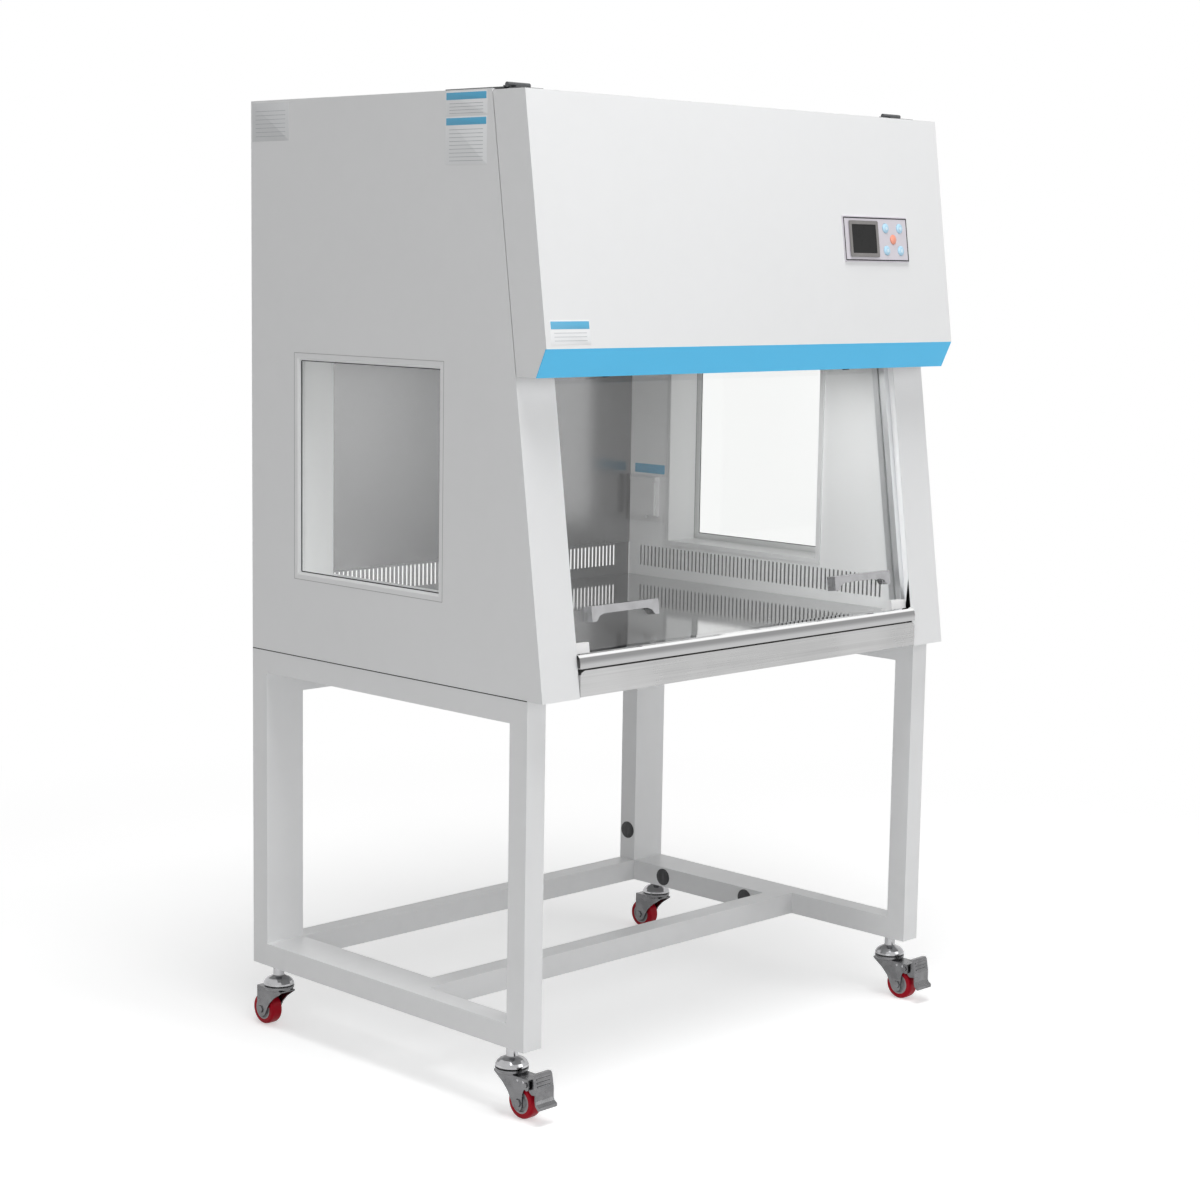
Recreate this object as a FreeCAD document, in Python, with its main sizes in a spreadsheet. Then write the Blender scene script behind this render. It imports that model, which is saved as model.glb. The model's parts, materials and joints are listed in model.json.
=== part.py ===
import FreeCAD, Part
import math
import os
import re

import Sketcher

# Vertical laminar flow cabinet on a tube stand with castors.
# X runs to the right, Y from the front to the back, Z up from the floor.
# Inside this file Y is counted from the front bottom edge of the cabinet, and every finished
# piece is then shifted so that the origin lies at floor level under the middle of the object.

SIZES = {
    # cabinet shell
    "cabinet_width": 1016.0,
    "cabinet_depth": 738.0,
    "top_depth": 608.0,
    "side_wall": 82.0,
    "skin": 1.5,
    "liner_sheet": 1.2,
    "rear_cavity": 8.0,
    "floor_height": 60.0,
    "ceiling_height": 530.0,
    "service_height": 414.0,
    "cabinet_height": "=ceiling_height + service_height",
    "plenum_height": 110.0,
    "deck_height": "=ceiling_height + plenum_height",
    # side windows
    "window_bottom": 135.0,
    "window_head": 9.0,
    "window_height": "=ceiling_height - window_head - window_bottom",
    "window_front": 237.0,
    "window_rear": 119.0,
    "window_length": "=cabinet_depth - window_front - window_rear",
    "bezel_width": 12.0,
    "bezel_depth": 6.0,
    "pane_thickness": 5.0,
    "bead_width": 8.0,
    "bead_height": 4.0,
    # air slots at the foot of the liners
    "slot_pitch": 10.0,
    "slot_width": 4.0,
    "slot_height": 40.0,
    "slot_bottom": 80.0,
    "slot_side_inset": 84.0,
    "slot_back_inset": 36.0,
    "grille_height": 64.0,
    # work surface and front lip
    "ridge_height": 10.0,
    "ramp_rise": 3.6,
    "ramp_lead": 1.4,
    "nose_radius": 12.0,
    "apron_height": 44.0,
    "apron_corner": 9.0,
    # front cover
    "hood_depth": 74.0,
    "hood_drop": 26.0,
    "hood_bottom": "=ceiling_height - hood_drop",
    "bevel_height": 45.0,
    "bevel_foot": 47.0,
    "hood_sheet": 1.5,
    "hood_gap": 2.0,
    "band_thickness": 2.0,
    # hinges of the front cover
    "hinge_length": 47.0,
    "hinge_side_inset": 5.0,
    "hinge_right_inset": 46.0,
    "hinge_lead": 28.0,
    "hinge_rise": 5.0,
    "knuckle_radius": 4.0,
    "pin_radius": 2.0,
    "leaf_thickness": 2.0,
    "leaf_reach": 113.0,
    "knuckle_share": 12.0,
    "running_clearance": 0.05,
    "end_play": 0.3,
    # sash
    "glass_thickness": 6.0,
    "glass_front": 24.0,
    "glass_bottom": 72.0,
    "glass_overlap": 38.0,
    "glass_length": "=hood_bottom - glass_bottom + glass_overlap",
    "guide_wall": 3.0,
    "guide_depth": 12.0,
    "guide_front": 12.0,
    "guide_back": 42.0,
    "guide_clearance": 0.3,
    "header_height": 34.0,
    "handle_length": 154.0,
    "handle_height": 25.0,
    "handle_reach": 18.0,
    "handle_bottom": 116.0,
    "handle_inset": 124.0,
    "handle_offset": "=cabinet_width / 2 - side_wall - handle_inset",
    "handle_foot": 28.0,
    "handle_bar": 13.0,
    "stop_radius": 6.0,
    "stop_height": 8.0,
    "end_block_width": 41.0,
    "end_block_height": 20.0,
    "seat_gap": 0.3,
    # control panel
    "panel_inset": 110.5,
    "panel_width": 175.0,
    "panel_left": "=cabinet_width / 2 - panel_inset - panel_width",
    "panel_drop": 258.0,
    "panel_bottom": "=cabinet_height - panel_drop",
    "panel_height": 79.0,
    "panel_thickness": 3.0,
    "screen_inset": 16.0,
    "screen_width": 73.0,
    "screen_height": 60.0,
    "screen_rise": 1.5,
    "button_radius": 8.5,
    "button_pitch": 39.0,
    "button_column": 134.5,
    "button_rise": 2.5,
    "button_travel": 1.0,
    "button_clearance": 0.3,
    # filter, blower and lamps
    "filter_height": 78.0,
    "filter_rim": 20.0,
    "filter_margin": 6.0,
    "sash_room": 50.0,
    "blower_inset": 290.0,
    "fan_radius": 100.0,
    "fan_width": 150.0,
    "fan_clearance": 10.0,
    "fan_throat": 22.0,
    "blade_depth": 18.0,
    "blade_thickness": 1.5,
    "housing_sheet": 2.0,
    "inlet_radius": 78.0,
    "motor_radius": 52.0,
    "motor_length": 96.0,
    "motor_gap": 12.0,
    "motor_foot": 8.0,
    "shaft_radius": 8.0,
    "prefilter_width": 520.0,
    "prefilter_depth": 300.0,
    "prefilter_height": 22.0,
    "prefilter_setback": 120.0,
    "lamp_margin": 106.0,
    "lamp_length": "=cabinet_width - 2 * side_wall - 2 * lamp_margin",
    "lamp_radius": 13.0,
    "light_width": 34.0,
    "light_height": 18.0,
    "light_setback": 10.0,
    "lens_radius": 11.0,
    "tube_drop": 26.0,
    "tube_setback": 34.0,
    # socket on the right liner
    "socket_width": 96.0,
    "socket_height": 92.0,
    "socket_bottom": 170.0,
    "socket_inset": 111.0,
    "socket_front": "=cabinet_depth - socket_inset",
    "socket_depth": 12.0,
    "socket_cover_rise": 10.0,
    # stand
    "stand_height": 569.0,
    "stand_setback": 34.0,
    "tube": 40.0,
    "tube_wall": 2.0,
    "rear_rail_height": 80.0,
    "base_rail_setback": 308.0,
    "plug_radius": 17.0,
    "plug_hole_radius": 15.0,
    "plug_head": 2.5,
    "plug_depth": 6.0,
    "rear_plug_rise": 60.0,
    "base_plug_rear": 122.0,
    "base_plug_front": 48.0,
    "bolt_radius": 4.0,
    "bolt_head_radius": 7.0,
    "bolt_head_height": 5.0,
    # castors
    "caster_height": 114.0,
    "stem_inset": 47.0,
    "stem_radius": 6.0,
    "stem_insert": 30.0,
    "collar_radius": 10.0,
    "race_radius": 27.5,
    "race_rise": 77.5,
    "race_gap": 1.0,
    "kingpin_radius": 5.0,
    "caster_trail": 32.0,
    "wheel_radius": 28.0,
    "wheel_width": 24.0,
    "hub_radius": 19.0,
    "axle_radius": 4.0,
    "fork_sheet": 2.5,
    "fork_gap": 28.0,
    "fork_top": 71.0,
    "axle_head": 2.2,
    "pedal_pin_radius": 2.5,
    "pedal_reach": 85.0,
    "pedal_width": 40.0,
    "pedal_sheet": 2.5,
}

doc = FreeCAD.newDocument("LaminarFlowCabinet")
sheet = doc.addObject("Spreadsheet::Sheet", "Dimensions")
for row, (alias, value) in enumerate(SIZES.items(), start=1):
    sheet.set("A{}".format(row), alias)
    sheet.set("B{}".format(row), str(value))
    sheet.setAlias("B{}".format(row), alias)
doc.recompute()

NODES = []
ALIAS = re.compile(r"[a-z]+(?:_[a-z]+)*")


def size(alias):
    """The value of one driving size, read from the sheet."""
    return float(getattr(sheet, alias))


def ex(text):
    """An expression of size names, written so that it reads the sheet."""
    return ALIAS.sub(lambda found: ("Dimensions." if found.group(0) in SIZES else "") + found.group(0), text)


# Lines of the object that several pieces share, as expressions of the sizes.
SHIFT = "-(cabinet_depth + stand_setback + caster_trail + wheel_radius - pedal_reach) / 2"
BASE = "(caster_height + stand_height)"
TOP = "(caster_height + stand_height + cabinet_height)"
SLOPE = "((cabinet_depth - top_depth) / cabinet_height)"
TILT = "atan((cabinet_depth - top_depth) / cabinet_height)"
HALF = "(cabinet_width / 2)"
INNER = "(cabinet_width / 2 - side_wall)"
LINER = "(cabinet_width / 2 - side_wall + liner_sheet)"
CHAMBER_BACK = "(cabinet_depth - skin - rear_cavity)"


def slant(height):
    """Y of the slanted front plane at a height above the cabinet's bottom."""
    return "({} * ({}))".format(SLOPE, height)


def up(height):
    """A height above the cabinet's bottom, measured along the slanted front."""
    return "(({}) / cos({}))".format(height, TILT)


def place(piece, tilted=False, x="0", y="0", z="0"):
    """Gives a finished piece its place in the object's frame, tilted with the front if asked."""
    turn = "-" + TILT if tilted else "0"
    base = "create(<<vector>>; {}; {} + {}; {})".format(x, SHIFT, y, z)
    turned = "create(<<rotation>>; create(<<vector>>; 1; 0; 0); {})".format(turn)
    piece.setExpression("Placement", ex("create(<<placement>>; {}; {})".format(base, turned)))


def node(piece, label, tilted=False, x="0", y="0", z="0"):
    """Names a finished piece, places it and lists it for writing."""
    if piece.TypeId in ("Part::Box", "Part::Cylinder"):
        piece = group(label + "_piece", [piece])
    piece.Label = label
    if tilted and z == "0":
        z = BASE
    place(piece, tilted, x, y, z)
    NODES.append(piece)
    return piece


# Helpers for Part primitives and booleans

def box(name, low, high):
    """A box between two corners that are given as expressions."""
    piece = doc.addObject("Part::Box", name)
    for prop, axis, start, end in zip(("Length", "Width", "Height"), "xyz", low, high):
        piece.setExpression(prop, ex("({}) - ({})".format(end, start)))
        piece.setExpression("Placement.Base." + axis, ex(start))
    return piece


AXIS_TURN = {
    "x": (FreeCAD.Vector(0, 1, 0), 90),
    "y": (FreeCAD.Vector(1, 0, 0), -90),
    "z": (FreeCAD.Vector(0, 0, 1), 0),
}


def cylinder(name, axis, foot, radius, length):
    """A cylinder that starts at foot and runs along the positive axis."""
    piece = doc.addObject("Part::Cylinder", name)
    turn_axis, turn = AXIS_TURN[axis]
    piece.Placement.Rotation = FreeCAD.Rotation(turn_axis, turn)
    piece.setExpression("Radius", ex(radius))
    piece.setExpression("Height", ex(length))
    for letter, text in zip("xyz", foot):
        piece.setExpression("Placement.Base." + letter, ex(text))
    return piece


def fuse(name, pieces):
    """All the pieces joined to one."""
    joined = doc.addObject("Part::MultiFuse", name)
    joined.Shapes = pieces
    joined.Refine = True
    return joined


def cut(name, base, tools):
    """The base less the tools."""
    tool = tools[0] if len(tools) == 1 else group(name + "_tools", tools)
    result = doc.addObject("Part::Cut", name)
    result.Base = base
    result.Tool = tool
    result.Refine = False
    return result


def group(name, pieces):
    """Separate solids kept together under one name."""
    together = doc.addObject("Part::Compound", name)
    together.Links = pieces
    return together


# Helpers for bodies with sketches

PLANES = {"xy": "XY_Plane", "xz": "XZ_Plane", "yz": "YZ_Plane"}


def body(name):
    """An empty body."""
    return doc.addObject("PartDesign::Body", name)


def plane_of(owner, plane):
    """One of a body's own origin planes or axes, found by its role."""
    for feature in owner.Origin.OriginFeatures:
        if feature.Role == plane:
            return feature
    raise ValueError(plane)


def sketch(owner, plane, name, offset="0"):
    """A sketch on one of the body's own planes, offset along that plane's normal."""
    drawing = owner.newObject("Sketcher::SketchObject", name)
    drawing.AttachmentSupport = (plane_of(owner, PLANES[plane]), [""])
    drawing.MapMode = "FlatFace"
    drawing.setExpression("AttachmentOffset.Base.z", ex(offset))
    return drawing


def fix(drawing, index, point, across, up):
    """Ties one point of a sketch to the origin by two bound distances."""
    for kind, text in (("DistanceX", across), ("DistanceY", up)):
        number = drawing.addConstraint(Sketcher.Constraint(kind, -1, 1, index, point, 10.0))
        drawing.setExpression("Constraints[{}]".format(number), ex(text))


def outline(drawing, points):
    """A closed outline of straight lines through points given as expressions."""
    count = len(points)
    first = drawing.GeometryCount
    ring = [FreeCAD.Vector(50 * math.cos(2 * math.pi * i / count), 50 * math.sin(2 * math.pi * i / count), 0)
            for i in range(count)]
    for i in range(count):
        drawing.addGeometry(Part.LineSegment(ring[i], ring[(i + 1) % count]))
    for i in range(count):
        drawing.addConstraint(Sketcher.Constraint("Coincident", first + i, 2, first + (i + 1) % count, 1))
    for i, (across, up) in enumerate(points):
        fix(drawing, first + i, 1, across, up)
    return drawing


def rectangle(drawing, left, bottom, right, top):
    """A closed rectangle between two corners."""
    return outline(drawing, [(left, bottom), (right, bottom), (right, top), (left, top)])


def circle(drawing, across, up, radius):
    """A circle whose centre and radius are given as expressions."""
    number = drawing.addGeometry(Part.Circle(FreeCAD.Vector(10, 10, 0), FreeCAD.Vector(0, 0, 1), 5))
    fix(drawing, number, 3, across, up)
    limit = drawing.addConstraint(Sketcher.Constraint("Radius", number, 5.0))
    drawing.setExpression("Constraints[{}]".format(limit), ex(radius))
    return drawing


def pad(owner, drawing, name, length, symmetric=False, reverse=False):
    """Adds material from a sketch."""
    feature = owner.newObject("PartDesign::Pad", name)
    feature.Profile = drawing
    feature.setExpression("Length", ex(length))
    feature.SideType = "Symmetric" if symmetric else "One side"
    feature.Reversed = reverse
    drawing.Visibility = False
    return feature


def pocket(owner, drawing, name, length, symmetric=False, reverse=False):
    """Takes material away from a sketch, and checks that some went."""
    doc.recompute()
    before = owner.Shape.Volume
    feature = owner.newObject("PartDesign::Pocket", name)
    feature.Profile = drawing
    feature.setExpression("Length", ex(length))
    feature.SideType = "Symmetric" if symmetric else "One side"
    feature.Reversed = reverse
    drawing.Visibility = False
    doc.recompute()
    if owner.Shape.Volume >= before:
        raise RuntimeError("pocket {} cuts nothing".format(name))
    return feature


def revolve(owner, drawing, name, axis):
    """Turns a sketch about one of the body's own axes."""
    feature = owner.newObject("PartDesign::Revolution", name)
    feature.Profile = drawing
    feature.ReferenceAxis = (plane_of(owner, axis), [""])
    feature.Angle = 360.0
    drawing.Visibility = False
    return feature


def line_pattern(owner, feature, name, axis, length, count):
    """Repeats a feature in a straight row along one of the body's own axes."""
    pattern = owner.newObject("PartDesign::LinearPattern", name)
    pattern.Originals = [feature]
    pattern.Direction = (plane_of(owner, axis), [""])
    pattern.setExpression("Length", ex(length))
    pattern.Occurrences = count
    owner.Tip = pattern
    return pattern


def turn_pattern(owner, feature, name, axis, count):
    """Repeats a feature round one of the body's own axes."""
    pattern = owner.newObject("PartDesign::PolarPattern", name)
    pattern.Originals = [feature]
    pattern.Axis = (plane_of(owner, axis), [""])
    pattern.Angle = 360.0
    pattern.Occurrences = count
    owner.Tip = pattern
    return pattern


def prism(name, plane, points, length, symmetric=True, offset="0"):
    """A body with one padded outline."""
    owner = body(name)
    drawing = outline(sketch(owner, plane, name + "_outline", offset), points)
    pad(owner, drawing, name + "_pad", length, symmetric)
    return owner


# Stand: two side frames, a rear frame and a base frame of square tube

FRAME_BACK = "cabinet_depth"
FRAME_FOOT = "caster_height"
BASE_TOP = "(caster_height + tube)"


def tube_box(name, low, high):
    """A closed length of square tube, as its outside and its hollow."""
    inner_low = ["{} + tube_wall".format(value) for value in low]
    inner_high = ["{} - tube_wall".format(value) for value in high]
    return box(name + "_outside", low, high), box(name + "_hollow", inner_low, inner_high)


def tube_frame(name, tubes, holes):
    """A welded frame: the tubes' outsides joined, with their joined hollows and the holes taken out."""
    outsides, hollows = zip(*[tube_box("{}_{}".format(name, i), low, high)
                              for i, (low, high) in enumerate(tubes)])
    solid = fuse(name + "_outsides", list(outsides))
    hollow = fuse(name + "_hollows", list(hollows))
    return cut(name + "_drilled", cut(name + "_tubes", solid, [hollow]), holes)


def side_frame(side, sign):
    """One side frame: front and rear posts between a top and a bottom rail."""
    outer, inner = (("-" + HALF, "-{} + tube".format(HALF)) if sign < 0 else
                    ("{} - tube".format(HALF), HALF))
    front = "stand_setback"
    tubes = [
        ((outer, front, FRAME_FOOT), (inner, front + " + tube", BASE)),
        ((outer, FRAME_BACK + " - tube", FRAME_FOOT), (inner, FRAME_BACK, BASE)),
        ((outer, front, FRAME_FOOT), (inner, FRAME_BACK, BASE_TOP)),
        ((outer, front, BASE + " - tube"), (inner, FRAME_BACK, BASE)),
    ]
    middle = "({} + {}) / 2".format(outer, inner)
    holes = [cylinder("{}_stem_hole_{}".format(side, i), "z", (middle, y, "caster_height - 1"),
                      "stem_radius", "tube_wall + 2")
             for i, y in enumerate(("stand_setback + stem_inset", "cabinet_depth - stem_inset"))]
    return tube_frame("stand_{}_frame".format(side), tubes, holes)


REAR_LEFT = "(-cabinet_width / 2 + tube)"
REAR_RIGHT = "(cabinet_width / 2 - tube)"
REAR_PLUG_UP = "(caster_height + tube + rear_plug_rise)"
BASE_PLUG_UP = "(caster_height + tube / 2)"
BASE_PLUGS = ("(cabinet_depth - base_plug_rear)", "(base_rail_setback + tube + base_plug_front)")


def plug_places():
    """Every plug: name, side, Y and Z of its middle."""
    places = []
    for side, sign in (("left", -1), ("right", 1)):
        places.append(("rear_" + side, sign, "(cabinet_depth - tube / 2)", REAR_PLUG_UP))
        for i, y in enumerate(BASE_PLUGS):
            places.append(("base_{}_{}".format(side, i), sign, y, BASE_PLUG_UP))
    return places


def plug_hole(name, sign, y, z):
    """The access hole for a bolt, through the inner wall of an inner tube."""
    foot = "-{} + 2 * tube - tube_wall - 1".format(HALF) if sign < 0 else "{} - 2 * tube - 1".format(HALF)
    return cylinder(name + "_hole", "x", (foot, y, z), "plug_hole_radius", "tube_wall + 2")


def rear_frame():
    """Two inner posts on the base frame, joined by a deep rail at the top."""
    back = ("cabinet_depth - tube", "cabinet_depth")
    tubes = [
        ((REAR_LEFT, back[0], BASE_TOP), (REAR_LEFT + " + tube", back[1], BASE)),
        ((REAR_RIGHT + " - tube", back[0], BASE_TOP), (REAR_RIGHT, back[1], BASE)),
        ((REAR_LEFT, back[0], BASE + " - rear_rail_height"), (REAR_RIGHT, back[1], BASE)),
    ]
    holes = [plug_hole(name, sign, y, z) for name, sign, y, z in plug_places() if name.startswith("rear")]
    return tube_frame("stand_rear_frame", tubes, holes)


def base_frame():
    """The low frame: a rear rail, a front rail at mid depth and two side rails."""
    front = "base_rail_setback"
    low = FRAME_FOOT
    tubes = [
        ((REAR_LEFT, front, low), (REAR_LEFT + " + tube", "cabinet_depth", BASE_TOP)),
        ((REAR_RIGHT + " - tube", front, low), (REAR_RIGHT, "cabinet_depth", BASE_TOP)),
        ((REAR_LEFT, "cabinet_depth - tube", low), (REAR_RIGHT, "cabinet_depth", BASE_TOP)),
        ((REAR_LEFT, front, low), (REAR_RIGHT, front + " + tube", BASE_TOP)),
    ]
    holes = [plug_hole(name, sign, y, z) for name, sign, y, z in plug_places() if name.startswith("base")]
    return tube_frame("stand_base_frame", tubes, holes)


def tube_plugs():
    """Domed plastic plugs that close the bolts' access holes."""
    plugs = []
    for name, sign, y, z in plug_places():
        owner = body("plug_" + name)
        inside = "({} - 2 * tube)".format(HALF)
        face = "-" + inside if sign < 0 else inside
        out = "+" if sign < 0 else "-"
        back = "-" if sign < 0 else "+"
        drawing = sketch(owner, "xy", "plug_{}_outline".format(name), "0")
        outline(drawing, [
            ("{} {} plug_head".format(face, out), "0"),
            ("{} {} plug_head".format(face, out), "plug_radius * 0.6"),
            ("{} {} plug_head * 0.4".format(face, out), "plug_radius"),
            (face, "plug_radius"),
            (face, "plug_hole_radius"),
            ("{} {} plug_depth".format(face, back), "plug_hole_radius"),
            ("{} {} plug_depth".format(face, back), "0"),
        ])
        revolve(owner, drawing, "plug_{}_turned".format(name), "X_Axis")
        owner.setExpression("Placement.Base.y", ex(y))
        owner.setExpression("Placement.Base.z", ex(z))
        plugs.append(owner)
    return group("tube_plugs", plugs)


def frame_bolts():
    """Bolts that draw the inner tubes against the side frames, with their heads behind the plugs."""
    bolts = []
    for name, sign, y, z in plug_places():
        wall = "({} - tube)".format(HALF)
        if sign < 0:
            head = "-{} + tube_wall".format(wall)
            shank = "-{} - tube_wall - bolt_head_height".format(wall)
        else:
            head = "{} - tube_wall - bolt_head_height".format(wall)
            shank = "{} - tube_wall".format(wall)
        cap = cylinder("bolt_head_" + name, "x", (head, y, z), "bolt_head_radius", "bolt_head_height")
        rod = cylinder("bolt_shank_" + name, "x", (shank, y, z), "bolt_radius",
                       "2 * tube_wall + bolt_head_height")
        bolts.append(fuse("bolt_" + name, [cap, rod]))
    return group("frame_bolts", bolts)


def bolt_holes(frame, name, wanted):
    """Takes the bolts' holes out of a frame, so that shank and tube meet face to face."""
    holes = []
    for place_name, sign, y, z in plug_places():
        if not wanted(place_name, sign):
            continue
        foot = "{}({} - tube) - tube_wall - 1".format("-" if sign < 0 else "", HALF)
        holes.append(cylinder("{}_hole_{}".format(name, place_name), "x", (foot, y, z), "bolt_radius",
                              "2 * tube_wall + 2"))
    return cut(name, frame, holes)


def stand():
    """The whole stand."""
    for side, sign in (("left", -1), ("right", 1)):
        frame = bolt_holes(side_frame(side, sign), "{}_bolted".format(side),
                           lambda name, place_sign, own=sign: place_sign == own)
        node(frame, "stand_{}_frame".format(side))
    rear = bolt_holes(rear_frame(), "rear_bolted", lambda name, sign: name.startswith("rear"))
    node(rear, "stand_rear_frame")
    base = bolt_holes(base_frame(), "base_bolted", lambda name, sign: name.startswith("base"))
    node(base, "stand_base_frame")
    node(tube_plugs(), "tube_plugs")
    node(frame_bolts(), "frame_bolts")


# Castors: stem and race, swivelling fork with its axle, wheel with hub and tyre, brake pedal

CASTERS = [
    ("front_left", -1, -1),
    ("front_right", 1, -1),
    ("rear_left", -1, 1),
    ("rear_right", 1, 1),
]
AXLE_UP = "wheel_radius"


def swivel_place(side, end):
    """X and Y of a castor's swivel axis."""
    x = "{}({} - tube / 2)".format("-" if side < 0 else "", HALF)
    y = "(stand_setback + stem_inset)" if end < 0 else "(cabinet_depth - stem_inset)"
    return x, y


def along(end, distance):
    """A distance towards the side that a castor trails to."""
    return "-({})".format(distance) if end < 0 else "({})".format(distance)


def caster_stem(name, side, end):
    """Threaded stem, collar, domed upper race and kingpin, turned in one piece."""
    owner = body("stem_" + name)
    x, y = swivel_place(side, end)
    drawing = sketch(owner, "xz", "stem_{}_outline".format(name))
    under = "fork_top - fork_sheet"
    outline(drawing, [
        ("0", under + " - 5"),
        ("kingpin_radius + 3", under + " - 5"),
        ("kingpin_radius + 3", under + " - end_play"),
        ("kingpin_radius", under + " - end_play"),
        ("kingpin_radius", "race_rise + race_gap"),
        ("race_radius - 2", "race_rise + race_gap"),
        ("race_radius", "race_rise + race_gap + 2"),
        ("race_radius - 0.5", "race_rise + 6"),
        ("race_radius - 3", "race_rise + 10"),
        ("race_radius * 0.72", "race_rise + 14"),
        ("collar_radius + 2", "race_rise + 17.5"),
        ("collar_radius", "race_rise + 19"),
        ("collar_radius", "caster_height"),
        ("stem_radius", "caster_height"),
        ("stem_radius", "caster_height + stem_insert"),
        ("0", "caster_height + stem_insert"),
    ])
    revolve(owner, drawing, "stem_{}_turned".format(name), "Z_Axis")
    owner.setExpression("Placement.Base.x", ex(x))
    owner.setExpression("Placement.Base.y", ex(y))
    return owner


LEG = [
    ("-race_radius + 2", "fork_top"),
    ("-race_radius + 3", "fork_top - 3"),
    ("caster_trail - 36", "wheel_radius + 26"),
    ("caster_trail - 24", "wheel_radius + 14"),
    ("caster_trail - 16", "wheel_radius"),
    ("caster_trail - 12", "wheel_radius - 8"),
    ("caster_trail - 6", "wheel_radius - 12"),
    ("caster_trail", "wheel_radius - 13"),
    ("caster_trail + 6", "wheel_radius - 11"),
    ("caster_trail + 9", "wheel_radius - 6"),
]
PLAIN_LEG = LEG + [
    ("caster_trail + 10", "wheel_radius + 4"),
    ("caster_trail + 10", "fork_top"),
]
BRAKED_LEG = LEG + [
    ("caster_trail + 9", "wheel_radius + 6"),
    ("caster_trail + 10", "wheel_radius + 17"),
    ("caster_trail + 13", "wheel_radius + 24"),
    ("caster_trail + 16", "wheel_radius + 26"),
    ("caster_trail + 19", "wheel_radius + 24"),
    ("caster_trail + 24", "wheel_radius + 26"),
    ("caster_trail + 25", "wheel_radius + 34"),
    ("caster_trail + 24", "fork_top"),
]
PEDAL_PIN = ("caster_trail + 18", "wheel_radius + 34")


def hexagon_corners(radius):
    """Corners of the hexagon that heads a pin of the radius."""
    turns = [math.pi * i / 3 for i in range(6)]
    points = [(1.7 * math.cos(turn), 1.7 * math.sin(turn)) for turn in turns]
    return [("{:.4f} * {}".format(across, radius), "{:.4f} * {}".format(rise, radius))
            for across, rise in points]


def caster_fork(name, end, braked):
    """Pressed fork with its lower race, the axle bolt between its legs and, if braked, the pedal's pin."""
    owner = body("fork_" + name)
    drawing = sketch(owner, "yz", "fork_{}_side".format(name))
    outline(drawing, [(along(end, out), high) for out, high in (BRAKED_LEG if braked else PLAIN_LEG)])
    pad(owner, drawing, "fork_{}_solid".format(name), "fork_gap + 2 * fork_sheet", symmetric=True)
    channel = sketch(owner, "yz", "fork_{}_channel".format(name))
    rectangle(channel, "-caster_trail - 2 * wheel_radius", "0", "caster_trail + 2 * wheel_radius",
              "fork_top - fork_sheet")
    pocket(owner, channel, "fork_{}_open".format(name), "fork_gap", symmetric=True)
    dish = sketch(owner, "xz", "fork_{}_dish".format(name))
    bore = "kingpin_radius + running_clearance"
    outline(dish, [
        (bore, "fork_top - fork_sheet"),
        ("race_radius * 0.72", "fork_top - fork_sheet"),
        ("race_radius - 2", "fork_top"),
        ("race_radius", "fork_top + 3"),
        ("race_radius", "race_rise"),
        ("race_radius - 2", "race_rise"),
        ("race_radius * 0.72", "fork_top + 1"),
        (bore, "fork_top + 1"),
    ])
    revolve(owner, dish, "fork_{}_race".format(name), "Z_Axis")
    opening = sketch(owner, "xy", "fork_{}_bore".format(name), "fork_top - fork_sheet - 1")
    circle(opening, "0", "0", bore)
    pocket(owner, opening, "fork_{}_kingpin".format(name), "fork_sheet + 3", reverse=True)
    pins = [("axle", "caster_trail", AXLE_UP, "axle_radius")]
    if braked:
        pins.append(("pedal_pin",) + PEDAL_PIN + ("pedal_pin_radius",))
    holes = sketch(owner, "yz", "fork_{}_holes".format(name))
    for kind, out, high, radius in pins:
        circle(holes, along(end, out), high, radius)
    pocket(owner, holes, "fork_{}_pin_holes".format(name), "fork_gap + 4 * fork_sheet", symmetric=True)
    pieces = [owner]
    for kind, out, high, radius in pins:
        pin = body("{}_{}".format(kind, name))
        rod = sketch(pin, "yz", "{}_{}_rod".format(kind, name))
        circle(rod, along(end, out), high, radius)
        pad(pin, rod, "{}_{}_shank".format(kind, name), "fork_gap + 2 * fork_sheet", symmetric=True)
        for ending, offset, turned in (("head", "fork_gap / 2 + fork_sheet", False),
                                       ("nut", "-fork_gap / 2 - fork_sheet", True)):
            hexagon = sketch(pin, "yz", "{}_{}_{}".format(kind, name, ending), offset)
            outline(hexagon, [(along(end, "{} + {}".format(out, across)), "{} + {}".format(high, rise))
                              for across, rise in hexagon_corners(radius)])
            pad(pin, hexagon, "{}_{}_{}_pad".format(kind, name, ending), "axle_head", reverse=turned)
        pieces.append(pin)
    return group("caster_{}_fork_and_axle".format(name), pieces)


def caster_hub(name):
    """Wheel centre: a rim, a web and a bored boss."""
    owner = body("hub_" + name)
    drawing = sketch(owner, "xy", "hub_{}_outline".format(name))
    bore = "axle_radius + running_clearance"
    outline(drawing, [
        ("-wheel_width / 2 - 1.5", bore),
        ("-wheel_width / 2 - 1.5", "axle_radius + 4"),
        ("-wheel_width / 2 + 4", "axle_radius + 6"),
        ("-wheel_width / 2 + 4", "hub_radius - 4"),
        ("-wheel_width / 2 + 0.5", "hub_radius - 3"),
        ("-wheel_width / 2 + 0.5", "hub_radius"),
        ("wheel_width / 2 - 0.5", "hub_radius"),
        ("wheel_width / 2 - 0.5", "hub_radius - 3"),
        ("wheel_width / 2 - 4", "hub_radius - 4"),
        ("wheel_width / 2 - 4", "axle_radius + 6"),
        ("wheel_width / 2 + 1.5", "axle_radius + 4"),
        ("wheel_width / 2 + 1.5", bore),
    ])
    revolve(owner, drawing, "hub_{}_turned".format(name), "X_Axis")
    return owner


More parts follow.
